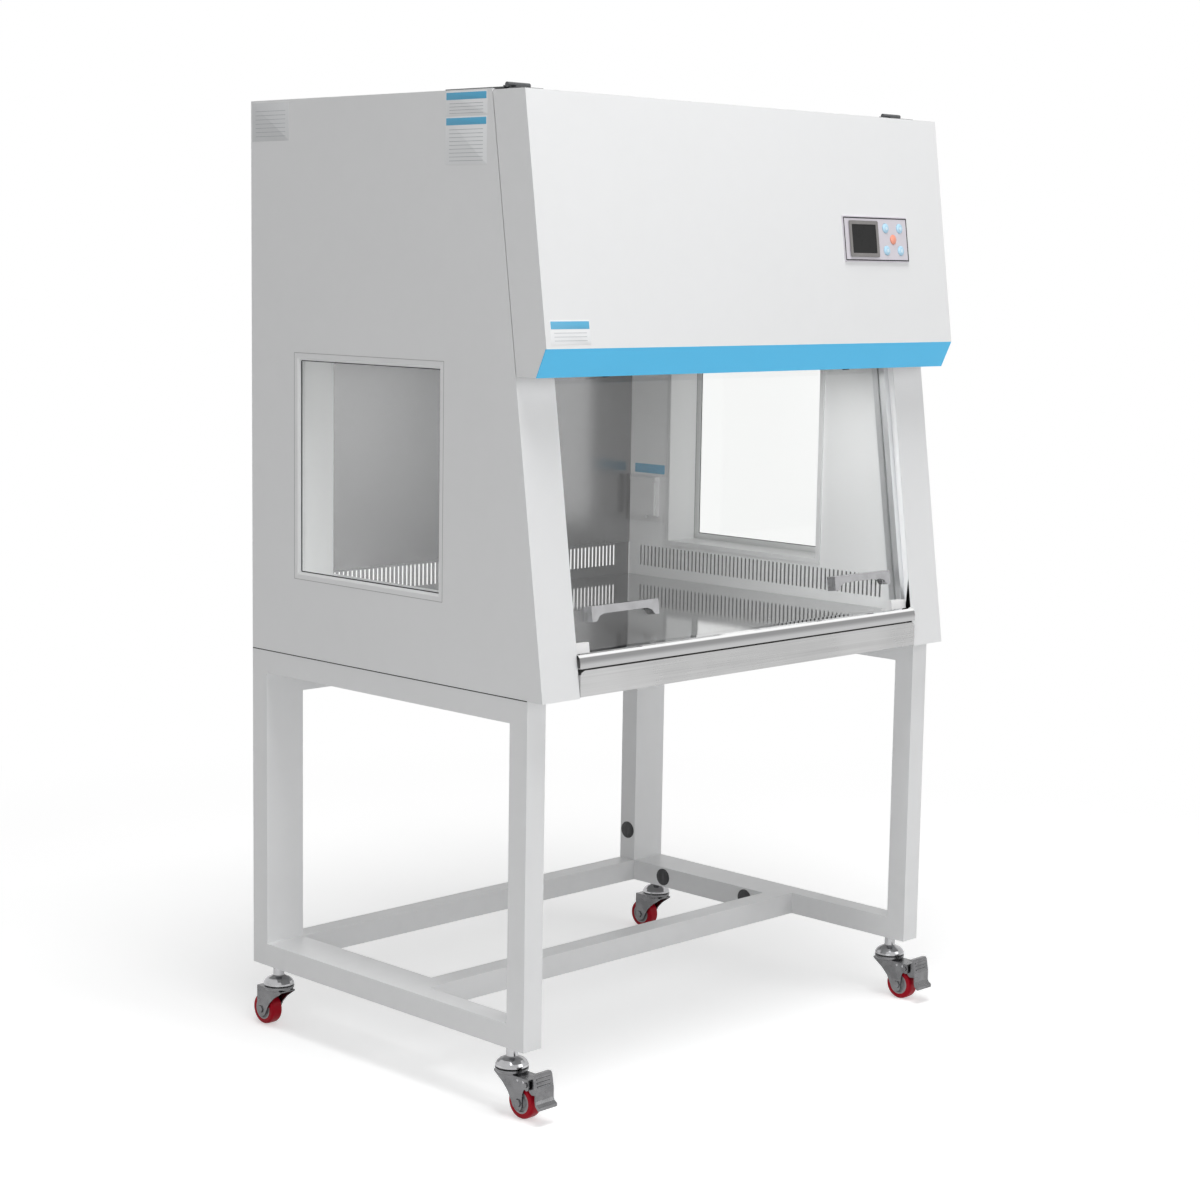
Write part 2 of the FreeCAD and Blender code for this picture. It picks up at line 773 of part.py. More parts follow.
def caster_tyre(name):
    """Round-shouldered tyre on the hub's rim."""
    owner = body("tyre_" + name)
    drawing = sketch(owner, "xy", "tyre_{}_outline".format(name))
    outline(drawing, [
        ("-wheel_width / 2 + 0.5", "hub_radius"),
        ("-wheel_width / 2", "hub_radius + 1"),
        ("-wheel_width / 2", "wheel_radius - 4"),
        ("-wheel_width / 2 + 1.2", "wheel_radius - 1.6"),
        ("-wheel_width / 2 + 3.5", "wheel_radius - 0.3"),
        ("-wheel_width / 2 + 6", "wheel_radius"),
        ("wheel_width / 2 - 6", "wheel_radius"),
        ("wheel_width / 2 - 3.5", "wheel_radius - 0.3"),
        ("wheel_width / 2 - 1.2", "wheel_radius - 1.6"),
        ("wheel_width / 2", "wheel_radius - 4"),
        ("wheel_width / 2", "hub_radius + 1"),
        ("wheel_width / 2 - 0.5", "hub_radius"),
    ])
    revolve(owner, drawing, "tyre_{}_turned".format(name), "X_Axis")
    return owner


def brake_pedal(name):
    """Stamped toe plate with ribs and a curled edge, with its lug and brake shoe between the fork's legs."""
    owner = body("pedal_" + name)
    drawing = sketch(owner, "yz", "pedal_{}_profile".format(name))
    outline(drawing, [
        ("-pedal_reach + 22", "fork_top + 12"),
        ("-pedal_reach + 15", "fork_top + 12.5"),
        ("-pedal_reach + 12", "fork_top + 9"),
        ("-pedal_reach + 8", "fork_top - 13"),
        ("-pedal_reach + 8", "fork_top - 29"),
        ("-pedal_reach + 6", "fork_top - 34"),
        ("-pedal_reach", "fork_top - 38"),
        ("-pedal_reach", "fork_top - 43"),
        ("-pedal_reach + 3", "fork_top - 43"),
        ("-pedal_reach + 9", "fork_top - 37"),
        ("-pedal_reach + 8 + pedal_sheet", "fork_top - 29"),
        ("-pedal_reach + 8 + pedal_sheet", "fork_top - 13"),
        ("-pedal_reach + 12 + pedal_sheet", "fork_top + 8"),
        ("-pedal_reach + 16", "fork_top + 12.5 - pedal_sheet"),
        ("-pedal_reach + 22", "fork_top + 12 - pedal_sheet"),
    ])
    pad(owner, drawing, "pedal_{}_plate".format(name), "pedal_width", symmetric=True)
    lug = sketch(owner, "yz", "pedal_{}_lug".format(name))
    outline(lug, [
        ("-pedal_reach + 10", "fork_top - 16"),
        ("-pedal_reach + 13.5", "fork_top + 7"),
        ("-caster_trail - 27.5", "fork_top + 1"),
        ("-caster_trail - 25", "fork_top - fork_sheet - 1"),
        ("-caster_trail - 14.5", "fork_top - fork_sheet - 1.2"),
        ("-caster_trail - 12.5", "wheel_radius + 34"),
        ("-caster_trail - 14.5", "wheel_radius + 30"),
        ("-caster_trail - 22", "wheel_radius + 20"),
        ("-caster_trail - 26", "wheel_radius + 18"),
        ("-pedal_reach + 9.5", "wheel_radius + 20"),
    ])
    pad(owner, lug, "pedal_{}_shoe".format(name), "wheel_width - 2", symmetric=True)
    for i in range(3):
        rib = sketch(owner, "yz", "pedal_{}_rib_{}".format(name, i))
        high = "fork_top + 7 - {}".format(6 * i)
        out = "-pedal_reach + 12.4 - {}".format(1.1 * i)
        outline(rib, [(out, high), (out + " - 2", high + " - 0.8"), (out + " - 2.2", high + " - 2.4"),
                      (out + " - 0.6", high + " - 3.6"), (out + " + 1.5", high + " - 2")])
        pad(owner, rib, "pedal_{}_rib_{}_pad".format(name, i), "pedal_width - 10", symmetric=True)
    bore = sketch(owner, "yz", "pedal_{}_bore".format(name))
    circle(bore, "-({})".format(PEDAL_PIN[0]), PEDAL_PIN[1], "pedal_pin_radius + running_clearance")
    pocket(owner, bore, "pedal_{}_pivot".format(name), "pedal_width", symmetric=True)
    return owner


def casters():
    """All four castors. The two front ones have a brake pedal."""
    node(group("caster_stems", [caster_stem(*caster) for caster in CASTERS]), "caster_stems")
    for name, side, end in CASTERS:
        x, y = swivel_place(side, end)
        trail = along(end, "caster_trail")
        node(caster_fork(name, end, end < 0), "caster_{}_fork".format(name), x=x, y=y)
        wheel_y = "({} + {})".format(y, trail)
        node(caster_hub(name), "caster_{}_hub".format(name), x=x, y=wheel_y, z=AXLE_UP)
        node(caster_tyre(name), "caster_{}_tyre".format(name), x=x, y=wheel_y, z=AXLE_UP)
        if end < 0:
            node(brake_pedal(name), "caster_{}_brake_pedal".format(name), x=x, y=y)


# Cabinet shell: side panels with folded rims, rear panel, top panel and base pan

WINDOW_LOW = "({} + window_bottom)".format(BASE)
WINDOW_HIGH = "({} + window_bottom + window_height)".format(BASE)
WINDOW_NEAR = "window_front"
WINDOW_FAR = "(window_front + window_length)"


def side_outline(inset_front="0", inset="0"):
    """The side's outline, moved in by an inset at its four edges."""
    low = "{} + {}".format(BASE, inset)
    high = "{} - {}".format(TOP, inset)
    return [
        ("{} + {} * {}".format(inset_front, SLOPE, inset), low),
        ("cabinet_depth - {}".format(inset), low),
        ("cabinet_depth - {}".format(inset), high),
        ("cabinet_depth - top_depth + {} - {} * {}".format(inset_front, SLOPE, inset), high),
    ]


def side_panel(side, sign):
    """Folded side panel: outer skin with rims all round, open to the chamber, with the window cut out."""
    owner = body("{}_side_panel_body".format(side))
    outer = "-" + HALF if sign < 0 else INNER
    drawing = outline(sketch(owner, "yz", side + "_side", outer), side_outline())
    pad(owner, drawing, side + "_side_solid", "side_wall")
    inner = "-{} + skin".format(HALF) if sign < 0 else INNER
    tray = outline(sketch(owner, "yz", side + "_side_tray", inner), side_outline("skin", "skin"))
    pocket(owner, tray, side + "_side_hollow", "side_wall - skin", reverse=True)
    window = sketch(owner, "yz", side + "_side_window", outer if sign < 0 else "{} - skin".format(HALF))
    rectangle(window, WINDOW_NEAR, WINDOW_LOW, WINDOW_FAR, WINDOW_HIGH)
    pocket(owner, window, side + "_side_opening", "skin", reverse=True)
    return node(owner, side + "_side_panel")


def rear_panel():
    """Outer rear sheet between the side panels, open behind the rear slots."""
    sheet_box = box("rear_sheet", ("-" + INNER, "cabinet_depth - skin", BASE), (INNER, "cabinet_depth", TOP))
    low = "{} + slot_bottom - 6".format(BASE)
    high = "{} + slot_bottom + slot_height + 6".format(BASE)
    slot = box("rear_exhaust", ("-{} + slot_back_inset - 6".format(INNER), "cabinet_depth - skin - 1", low),
               ("{} - slot_back_inset + 6".format(INNER), "cabinet_depth + 1", high))
    return node(cut("rear_panel_cut", sheet_box, [slot]), "rear_panel")


PREFILTER_FRONT = "(cabinet_depth / 2 + prefilter_setback - prefilter_depth / 2)"


def top_panel():
    """Top sheet with the air intake."""
    front = "cabinet_depth - top_depth + skin"
    sheet_box = box("top_sheet", ("-" + INNER, front, TOP + " - skin"), (INNER, "cabinet_depth - skin", TOP))
    intake = box("top_intake", ("-prefilter_width / 2", PREFILTER_FRONT, TOP + " - skin - 1"),
                 ("prefilter_width / 2", PREFILTER_FRONT + " + prefilter_depth", TOP + " + 1"))
    return node(cut("top_panel_cut", sheet_box, [intake]), "top_panel")


def base_pan():
    """Folded pan that closes the cabinet's underside and carries the work surface at its rims."""
    back = "cabinet_depth - skin"
    rim = "floor_height - liner_sheet"
    outside = box("pan_outside", ("-" + INNER, "nose_radius + 6", BASE), (INNER, back, BASE + " + " + rim))
    inside = box("pan_inside", ("-{} + skin".format(INNER), "nose_radius + 6 + skin", BASE + " + skin"),
                 (INNER + " - skin", back + " - skin", "{} + {} + 1".format(BASE, rim)))
    return node(cut("base_pan_cut", outside, [inside]), "base_pan")


# Chamber: liners, slotted grilles, work surface and front apron

LINER_LOW = "({} + floor_height + grille_height)".format(BASE)
CEILING = "({} + ceiling_height)".format(BASE)


def liner(side, sign):
    """Side liner above the slotted grille: four sheets that meet edge to edge round the window."""
    inner = "-" + LINER if sign < 0 else INNER
    outer = inner + " + liner_sheet"
    front_low = slant("floor_height + grille_height") + " + skin * 1.1"
    front_high = slant("ceiling_height") + " + skin * 1.1"
    owner = body(side + "_liner_front_body")
    drawing = outline(sketch(owner, "yz", side + "_liner_front", inner), [
        (front_low, LINER_LOW),
        (WINDOW_NEAR, LINER_LOW),
        (WINDOW_NEAR, CEILING),
        (front_high, CEILING),
    ])
    pad(owner, drawing, side + "_liner_front_sheet", "liner_sheet")
    sheets = [
        owner,
        box(side + "_liner_rear", (inner, WINDOW_FAR, LINER_LOW), (outer, CHAMBER_BACK, CEILING)),
        box(side + "_liner_sill", (inner, WINDOW_NEAR, LINER_LOW), (outer, WINDOW_FAR, WINDOW_LOW)),
        box(side + "_liner_head", (inner, WINDOW_NEAR, WINDOW_HIGH), (outer, WINDOW_FAR, CEILING)),
    ]
    return node(group(side + "_liner_sheets", sheets), side + "_liner")


def rear_liner():
    """Stainless rear wall above the slots."""
    return node(box("rear_liner_box", ("-" + INNER, CHAMBER_BACK, LINER_LOW),
                    (INNER, CHAMBER_BACK + " + liner_sheet", CEILING)), "rear_liner")


SLOT_LOW = "({} + slot_bottom)".format(BASE)
GRILLE_FOOT = "({} + floor_height)".format(BASE)


def side_grille(side, sign):
    """Slotted lower strip of a side liner."""
    owner = body(side + "_grille_body")
    inner = "-" + LINER if sign < 0 else INNER
    front_low = slant("floor_height") + " + skin * 1.1 + 14"
    front_high = slant("floor_height + grille_height") + " + skin * 1.1"
    drawing = outline(sketch(owner, "yz", side + "_grille_outline", inner), [
        (front_low, GRILLE_FOOT),
        (CHAMBER_BACK, GRILLE_FOOT),
        (CHAMBER_BACK, LINER_LOW),
        (front_high, LINER_LOW),
    ])
    pad(owner, drawing, side + "_grille_sheet", "liner_sheet")
    start = "slot_side_inset"
    hole = sketch(owner, "yz", side + "_slot_outline", inner)
    rectangle(hole, start, SLOT_LOW, start + " + slot_width", SLOT_LOW + " + slot_height")
    slot = pocket(owner, hole, side + "_slot", "liner_sheet", reverse=True)
    room = size("cabinet_depth") - size("rear_cavity") - size("slot_side_inset") - size("slot_back_inset")
    count = int(room / size("slot_pitch")) + 1
    line_pattern(owner, slot, side + "_slots", "Y_Axis", "{} * slot_pitch".format(count - 1), count)
    return owner


def rear_grille():
    """Slotted lower strip of the rear wall."""
    owner = body("rear_grille_body")
    drawing = sketch(owner, "xz", "rear_grille_outline", "-" + CHAMBER_BACK)
    rectangle(drawing, "-" + INNER, GRILLE_FOOT, INNER, LINER_LOW)
    pad(owner, drawing, "rear_grille_sheet", "liner_sheet", reverse=True)
    start = "-{} + slot_back_inset".format(INNER)
    hole = sketch(owner, "xz", "rear_slot_outline", "-" + CHAMBER_BACK)
    rectangle(hole, start, SLOT_LOW, start + " + slot_width", SLOT_LOW + " + slot_height")
    slot = pocket(owner, hole, "rear_slot", "liner_sheet")
    room = size("cabinet_width") - 2 * size("side_wall") - 2 * size("slot_back_inset") - size("slot_width")
    count = int(room / size("slot_pitch")) + 1
    line_pattern(owner, slot, "rear_slots", "X_Axis", "{} * slot_pitch".format(count - 1), count)
    return owner


# The blocks at the foot of the sash guides stand over a ramp that falls to the flat floor behind them.
BLOCK_BACK = "(guide_back - 6)"
BLOCK_FOOT = "({} + {} * {})".format(up("floor_height + seat_gap + 0.15 * ramp_lead"), BLOCK_BACK, SLOPE)
BLOCK_TOP = "({} + end_block_height)".format(BLOCK_FOOT)
RAMP_BACK = "({} * cos({}) + {} * sin({}) + ramp_lead)".format(BLOCK_BACK, TILT, BLOCK_FOOT, TILT)


def work_surface():
    """Folded stainless work surface: flat floor, ramp, raised ridge and rounded front nose."""
    floor = GRILLE_FOOT
    ridge = "{} + ridge_height".format(floor)
    lip = "{} - nose_radius".format(floor)
    points = [
        (CHAMBER_BACK, floor),
        (CHAMBER_BACK, "{} - liner_sheet".format(floor)),
        (RAMP_BACK, "{} - liner_sheet".format(floor)),
        ("15.8", "{} + ramp_rise - liner_sheet".format(floor)),
        ("12.5", "{} - 1.5 - liner_sheet".format(ridge)),
        ("9", "{} - liner_sheet".format(ridge)),
        ("5.8", "{} - 1.8 - liner_sheet".format(ridge)),
        ("2.5", "{} - 7 - liner_sheet".format(ridge)),
        ("liner_sheet", "{} - 13 - liner_sheet".format(ridge)),
        ("liner_sheet", lip),
        ("nose_radius", lip),
        ("nose_radius", "{} - liner_sheet".format(lip)),
        ("0", "{} - liner_sheet".format(lip)),
        ("0", "{} - 13".format(ridge)),
        ("1.5", "{} - 7".format(ridge)),
        ("5", "{} - 1.5".format(ridge)),
        ("9", ridge),
        ("13", "{} - 1".format(ridge)),
        ("16.5", "{} + ramp_rise".format(floor)),
        (RAMP_BACK, floor),
    ]
    owner = prism("work_surface_body", "yz", points, "2 * {}".format(INNER))
    return node(owner, "work_surface")


def front_apron():
    """Brushed front face below the work surface's nose, with rounded upper ends and side returns."""
    owner = body("front_apron_body")
    drawing = sketch(owner, "xz", "apron_face", "0")
    low = BASE + " + 2"
    high = BASE + " + apron_height"
    side = "({} - 0.5)".format(INNER)
    outline(drawing, [
        ("-" + side, low),
        (side, low),
        (side, high + " - apron_corner"),
        (side + " - apron_corner * 0.3", high + " - apron_corner * 0.3"),
        (side + " - apron_corner", high),
        ("-{} + apron_corner".format(side), high),
        ("-{} + apron_corner * 0.3".format(side), high + " - apron_corner * 0.3"),
        ("-" + side, high + " - apron_corner"),
    ])
    pad(owner, drawing, "apron_sheet", "nose_radius + 6", reverse=True)
    hollow = sketch(owner, "xz", "apron_hollow", "-liner_sheet")
    rectangle(hollow, "-{} + liner_sheet".format(side), low + " + liner_sheet",
              side + " - liner_sheet", high + " - liner_sheet")
    pocket(owner, hollow, "apron_open", "nose_radius + 6")
    return node(owner, "front_apron")


# Side windows: bezel, pane, reveal frame with its raised bead

def ring(name, low, high, width):
    """A rectangular ring: an outer box less an inner one that is narrower by the width all round."""
    outside = box(name + "_outside", low, high)
    inside_low = (low[0] + " - 1", "{} + {}".format(low[1], width), "{} + {}".format(low[2], width))
    inside_high = (high[0] + " + 1", "{} - {}".format(high[1], width), "{} - {}".format(high[2], width))
    return cut(name, outside, [box(name + "_inside", inside_low, inside_high)])


def window_bezel(side, sign):
    """Outer frame whose face slopes inwards to the pane."""
    owner = body(side + "_bezel_body")
    face = "-" + HALF if sign < 0 else HALF
    drawing = sketch(owner, "yz", side + "_bezel_outline", face)
    rectangle(drawing, WINDOW_NEAR, WINDOW_LOW, WINDOW_FAR, WINDOW_HIGH)
    pad(owner, drawing, side + "_bezel_solid", "bezel_depth", reverse=sign > 0)
    opening = sketch(owner, "yz", side + "_bezel_opening", face)
    rectangle(opening, WINDOW_NEAR + " + bezel_width", WINDOW_LOW + " + bezel_width",
              WINDOW_FAR + " - bezel_width", WINDOW_HIGH + " - bezel_width")
    frame = pocket(owner, opening, side + "_bezel_cut", "bezel_depth", reverse=sign < 0)
    edges = []
    face_x = size("cabinet_width") / 2
    lengths = [size(alias) - 2 * size("bezel_width") for alias in ("window_length", "window_height")]
    for number, edge in enumerate(owner.Shape.Edges, start=1):
        extent = edge.BoundBox
        on_face = abs(abs(extent.Center.x) - face_x) < 0.01 and extent.XLength < 0.01
        if on_face and min(abs(edge.Length - length) for length in lengths) < 0.01:
            edges.append("Edge{}".format(number))
    slope = owner.newObject("PartDesign::Chamfer", side + "_bezel_slope")
    slope.Base = (frame, edges)
    slope.setExpression("Size", ex("bezel_depth - 2"))
    return owner


def window_reveal(side, sign):
    """Frame through the wall behind the pane, with the bead that stands on the liner."""
    start = "bezel_depth + pane_thickness"
    if sign < 0:
        low_x, high_x = "-{} + {}".format(HALF, start), "-{} + bead_height".format(INNER)
        bead_x = ("-" + INNER, "-{} + bead_height".format(INNER))
    else:
        low_x, high_x = "{} - bead_height".format(INNER), "{} - ({})".format(HALF, start)
        bead_x = ("{} - bead_height".format(INNER), INNER)
    reveal = ring(side + "_reveal", (low_x, WINDOW_NEAR, WINDOW_LOW), (high_x, WINDOW_FAR, WINDOW_HIGH),
                  "skin")
    bead = ring(side + "_bead", (bead_x[0], WINDOW_NEAR + " - bead_width", WINDOW_LOW + " - bead_width"),
                (bead_x[1], WINDOW_FAR + " + bead_width", WINDOW_HIGH + " + bead_width"),
                "bead_width + skin")
    return fuse(side + "_window_frame", [reveal, bead])


def windows():
    """Both side windows."""
    frames = []
    panes = []
    for side, sign in (("left", -1), ("right", 1)):
        frames.append(window_bezel(side, sign))
        frames.append(window_reveal(side, sign))
        if sign < 0:
            low_x = "-{} + bezel_depth".format(HALF)
        else:
            low_x = "{} - bezel_depth - pane_thickness".format(HALF)
        panes.append(box(side + "_pane", (low_x, WINDOW_NEAR, WINDOW_LOW),
                         (low_x + " + pane_thickness", WINDOW_FAR, WINDOW_HIGH)))
    node(group("window_frames_group", frames), "window_frames")
    node(group("window_panes_group", panes), "window_panes")


# Front cover with its coloured band and hinges

def hood():
    """Folded front cover, open towards the back, with the control panel's cable opening."""
    owner = body("hood_body")
    high = "cabinet_height - leaf_thickness"
    nose = "hood_bottom + bevel_height"
    drawing = sketch(owner, "yz", "hood_profile")
    outline(drawing, [
        (slant(high) + " - hood_gap", "{} + {}".format(BASE, high)),
        (slant(high) + " - hood_depth", "{} + {}".format(BASE, high)),
        (slant(nose) + " - hood_depth", "{} + {}".format(BASE, nose)),
        (slant(nose) + " - hood_depth + band_thickness", "{} + {}".format(BASE, nose)),
        (slant("hood_bottom") + " - bevel_foot + band_thickness", BASE + " + hood_bottom"),
        (slant("hood_bottom") + " - hood_gap", BASE + " + hood_bottom"),
    ])
    pad(owner, drawing, "hood_solid", "cabinet_width", symmetric=True)
    wall = "hood_sheet"
    hollow = sketch(owner, "yz", "hood_hollow")
    outline(hollow, [
        (slant(high) + " + 5", "{} + {} - {}".format(BASE, high, wall)),
        ("{} - hood_depth + {}".format(slant(high), wall), "{} + {} - {}".format(BASE, high, wall)),
        ("{} - hood_depth + {} + band_thickness".format(slant(nose), wall),
         "{} + {} + {}".format(BASE, nose, wall)),
        ("{} - hood_depth + {} + band_thickness".format(slant(nose), wall), "{} + {}".format(BASE, nose)),
        ("{} - bevel_foot + {} + band_thickness".format(slant("hood_bottom"), wall),
         "{} + hood_bottom + {}".format(BASE, wall)),
        (slant("hood_bottom") + " + 5", "{} + hood_bottom + {}".format(BASE, wall)),
    ])
    pocket(owner, hollow, "hood_open", "cabinet_width - 2 * {}".format(wall), symmetric=True)
    return node(owner, "hood_cover")


def hood_band():
    """Coloured strip that covers the bevel along the cover's lower edge."""
    nose = "hood_bottom + bevel_height"
    owner = prism("hood_band_body", "yz", [
        (slant(nose) + " - hood_depth", "{} + {}".format(BASE, nose)),
        (slant("hood_bottom") + " - bevel_foot", BASE + " + hood_bottom"),
        (slant("hood_bottom") + " - bevel_foot + band_thickness", BASE + " + hood_bottom"),
        (slant(nose) + " - hood_depth + band_thickness", "{} + {}".format(BASE, nose)),
    ], "cabinet_width")
    return node(owner, "hood_band")


HINGE_UP = "({} + hinge_rise)".format(TOP)
HINGE_Y = "(cabinet_depth - top_depth - hinge_lead)"


def hinge_starts():
    """Left end of each hinge."""
    return (("left", "(-{} + hinge_side_inset)".format(HALF)),
            ("right", "({} - hinge_right_inset - hinge_length)".format(HALF)))


def hinge_parts():
    """Both hinges: leaves on the cabinet with their pins, and leaves on the cover."""
    fixed = []
    moving = []
    back = "cabinet_depth - top_depth + leaf_reach"
    for side, start in hinge_starts():
        first = (start, start + " + knuckle_share")
        last = (start + " + hinge_length - knuckle_share", start + " + hinge_length")
        middle = (first[1] + " + end_play", last[0] + " - end_play")
        name = side + "_hinge"
        pieces = [box(name + "_leaf", (start, HINGE_Y + " + knuckle_radius + 2", TOP),
                      (start + " + hinge_length", back, TOP + " + leaf_thickness"))]
        for i, (low, high) in enumerate((first, last)):
            pieces.append(box("{}_ear_{}".format(name, i), (low, HINGE_Y, TOP + " + hinge_rise - 3"),
                              (high, HINGE_Y + " + knuckle_radius + 3", TOP + " + hinge_rise - 1")))
            pieces.append(cylinder("{}_knuckle_{}".format(name, i), "x", (low, HINGE_Y, HINGE_UP),
                                   "knuckle_radius", "({}) - ({})".format(high, low)))
        for i, (low, high) in enumerate((first, last)):
            pieces.append(box("{}_step_{}".format(name, i),
                              (low, HINGE_Y + " + knuckle_radius + 2", TOP),
                              (high, HINGE_Y + " + knuckle_radius + 4", TOP + " + hinge_rise - 1")))
        pieces.append(cylinder(name + "_pin", "x", (start, HINGE_Y, HINGE_UP), "pin_radius", "hinge_length"))
        fixed.append(fuse(name + "_fixed", pieces))
        leaf = box(name + "_cover_leaf", (start, HINGE_Y + " - 32", TOP + " - leaf_thickness"),
                   (start + " + hinge_length", HINGE_Y + " - knuckle_radius - 1", TOP))
        ear = box(name + "_cover_ear",
                  (middle[0], HINGE_Y + " - knuckle_radius - 4", TOP + " - leaf_thickness"),
                  (middle[1], HINGE_Y, TOP + " + hinge_rise - 1"))
        barrel = cylinder(name + "_cover_knuckle", "x", (middle[0], HINGE_Y, HINGE_UP), "knuckle_radius",
                          "({}) - ({})".format(middle[1], middle[0]))
        bore = cylinder(name + "_bore", "x", (start + " - 1", HINGE_Y, HINGE_UP),
                        "pin_radius + running_clearance", "hinge_length + 2")
        moving.append(cut(name + "_moving", fuse(name + "_cover_side", [leaf, ear, barrel]), [bore]))
    node(group("hinge_cabinet_leaves_group", fixed), "hinge_cabinet_leaves")
    node(group("hinge_cover_leaves_group", moving), "hinge_cover_leaves")


# Sash and its guides, built square and then tilted with the front

def sash():
    """Sliding glass with two handles."""
    glass_half = "({} - guide_wall - guide_clearance)".format(INNER)
    low = up("glass_bottom")
    pane = box("sash_pane", ("-" + glass_half, "glass_front", low),
               (glass_half, "glass_front + glass_thickness", low + " + glass_length"))
    node(pane, "sash_glass", tilted=True)
    handles = []
    for side, sign in (("left", "-"), ("right", "")):
        middle = "({}handle_offset)".format(sign)
        foot = up("handle_bottom")
        owner = body(side + "_handle_body")
        left, right = "{} - handle_length / 2".format(middle), "{} + handle_length / 2".format(middle)
        drawing = sketch(owner, "xz", side + "_handle_face", "-glass_front")
        top = foot + " + handle_height"
        arch = foot + " + handle_height - handle_bar"
        outline(drawing, [
            (left, foot),
            (left + " + handle_foot * 0.35", foot),
            (left + " + handle_foot * 0.6", "{} + (handle_height - handle_bar) * 0.7".format(foot)),
            (left + " + handle_foot", arch),
            (right + " - handle_foot", arch),
            (right + " - handle_foot * 0.6", "{} + (handle_height - handle_bar) * 0.7".format(foot)),
            (right + " - handle_foot * 0.35", foot),
            (right, foot),
            (right, top),
            (left, top),
        ])
        pad(owner, drawing, side + "_handle_solid", "handle_reach")
        handles.append(owner)
    node(group("sash_handles_group", handles), "sash_handles", tilted=True)


def sash_guides():
    """Channel each side for the glass, and the header sheet that the stops hang from."""
    pieces = []
    low = BLOCK_TOP + " + seat_gap"
    high = up("cabinet_height - 12")
    for side, sign in (("left", -1), ("right", 1)):
        outer, inner = (("-" + INNER, "-{} + guide_depth".format(INNER)) if sign < 0 else
                        ("{} - guide_depth".format(INNER), INNER))
        channel = box(side + "_channel", (outer, "guide_front", low), (inner, "guide_back", high))
        groove_x = (("-{} + guide_wall".format(INNER), inner + " + 1") if sign < 0 else
                    (outer + " - 1", INNER + " - guide_wall"))
        groove = box(side + "_groove", (groove_x[0], "glass_front - guide_clearance", low + " - 1"),
                     (groove_x[1], "glass_front + glass_thickness + guide_clearance", high + " + 1"))
        pieces.append(cut(side + "_guide", channel, [groove]))
    header = box("header_sheet", ("-" + INNER, "skin + 0.5", up("hood_bottom + 4")),
                 (INNER, "skin + 2", up("hood_bottom + 4 + header_height")))
    shelf = box("header_shelf", ("-" + INNER, "skin + 0.5", up("hood_bottom + 4")),
                (INNER, "guide_front", up("hood_bottom + 4") + " + skin"))
    pieces.append(fuse("sash_header", [header, shelf]))
    node(group("sash_guides_group", pieces), "sash_guides", tilted=True)
    stops = []
    for side, sign in (("left", "-"), ("right", "")):
        stops.append(cylinder(side + "_stop", "z", ("{}handle_offset".format(sign), "guide_front - 4",
                                                    up("hood_bottom + 4") + " - stop_height"),
                              "stop_radius", "stop_height"))
    node(group("sash_stops_group", stops), "sash_stops", tilted=True)
    blocks = []
    for side, sign in (("left", -1), ("right", 1)):
        outer, inner = (("-" + INNER, "-{} + end_block_width".format(INNER)) if sign < 0 else
                        ("{} - end_block_width".format(INNER), INNER))
        solid = box(side + "_block", (outer, "guide_front", BLOCK_FOOT), (inner, BLOCK_BACK, BLOCK_TOP))
        notch = box(side + "_notch", (outer + " - 1", "glass_front - guide_clearance",
                                      up("glass_bottom") + " - guide_clearance"),
                    (inner + " + 1", "guide_back", BLOCK_TOP + " + 1"))
        blocks.append(cut(side + "_end_block", solid, [notch]))
    node(group("guide_end_blocks_group", blocks), "guide_end_blocks", tilted=True)


# Control panel on the front cover: plate, screen and five buttons

BUTTONS = [
    ("upper_left", -0.5, 0.5),
    ("upper_right", 0.5, 0.5),
    ("lower_left", -0.5, -0.5),
    ("lower_right", 0.5, -0.5),
    ("centre", 0.0, 0.0),
]
PANEL_FACE = "(-hood_depth * cos({}))".format(TILT)
PANEL_MIDDLE = "(panel_bottom + panel_height / 2)"


def button_place(across, along_up):
    """X and height of a button's middle in the slanted frame."""
    return ("(panel_left + button_column + ({}) * button_pitch)".format(across),
            "({} + ({}) * button_pitch)".format(PANEL_MIDDLE, along_up))


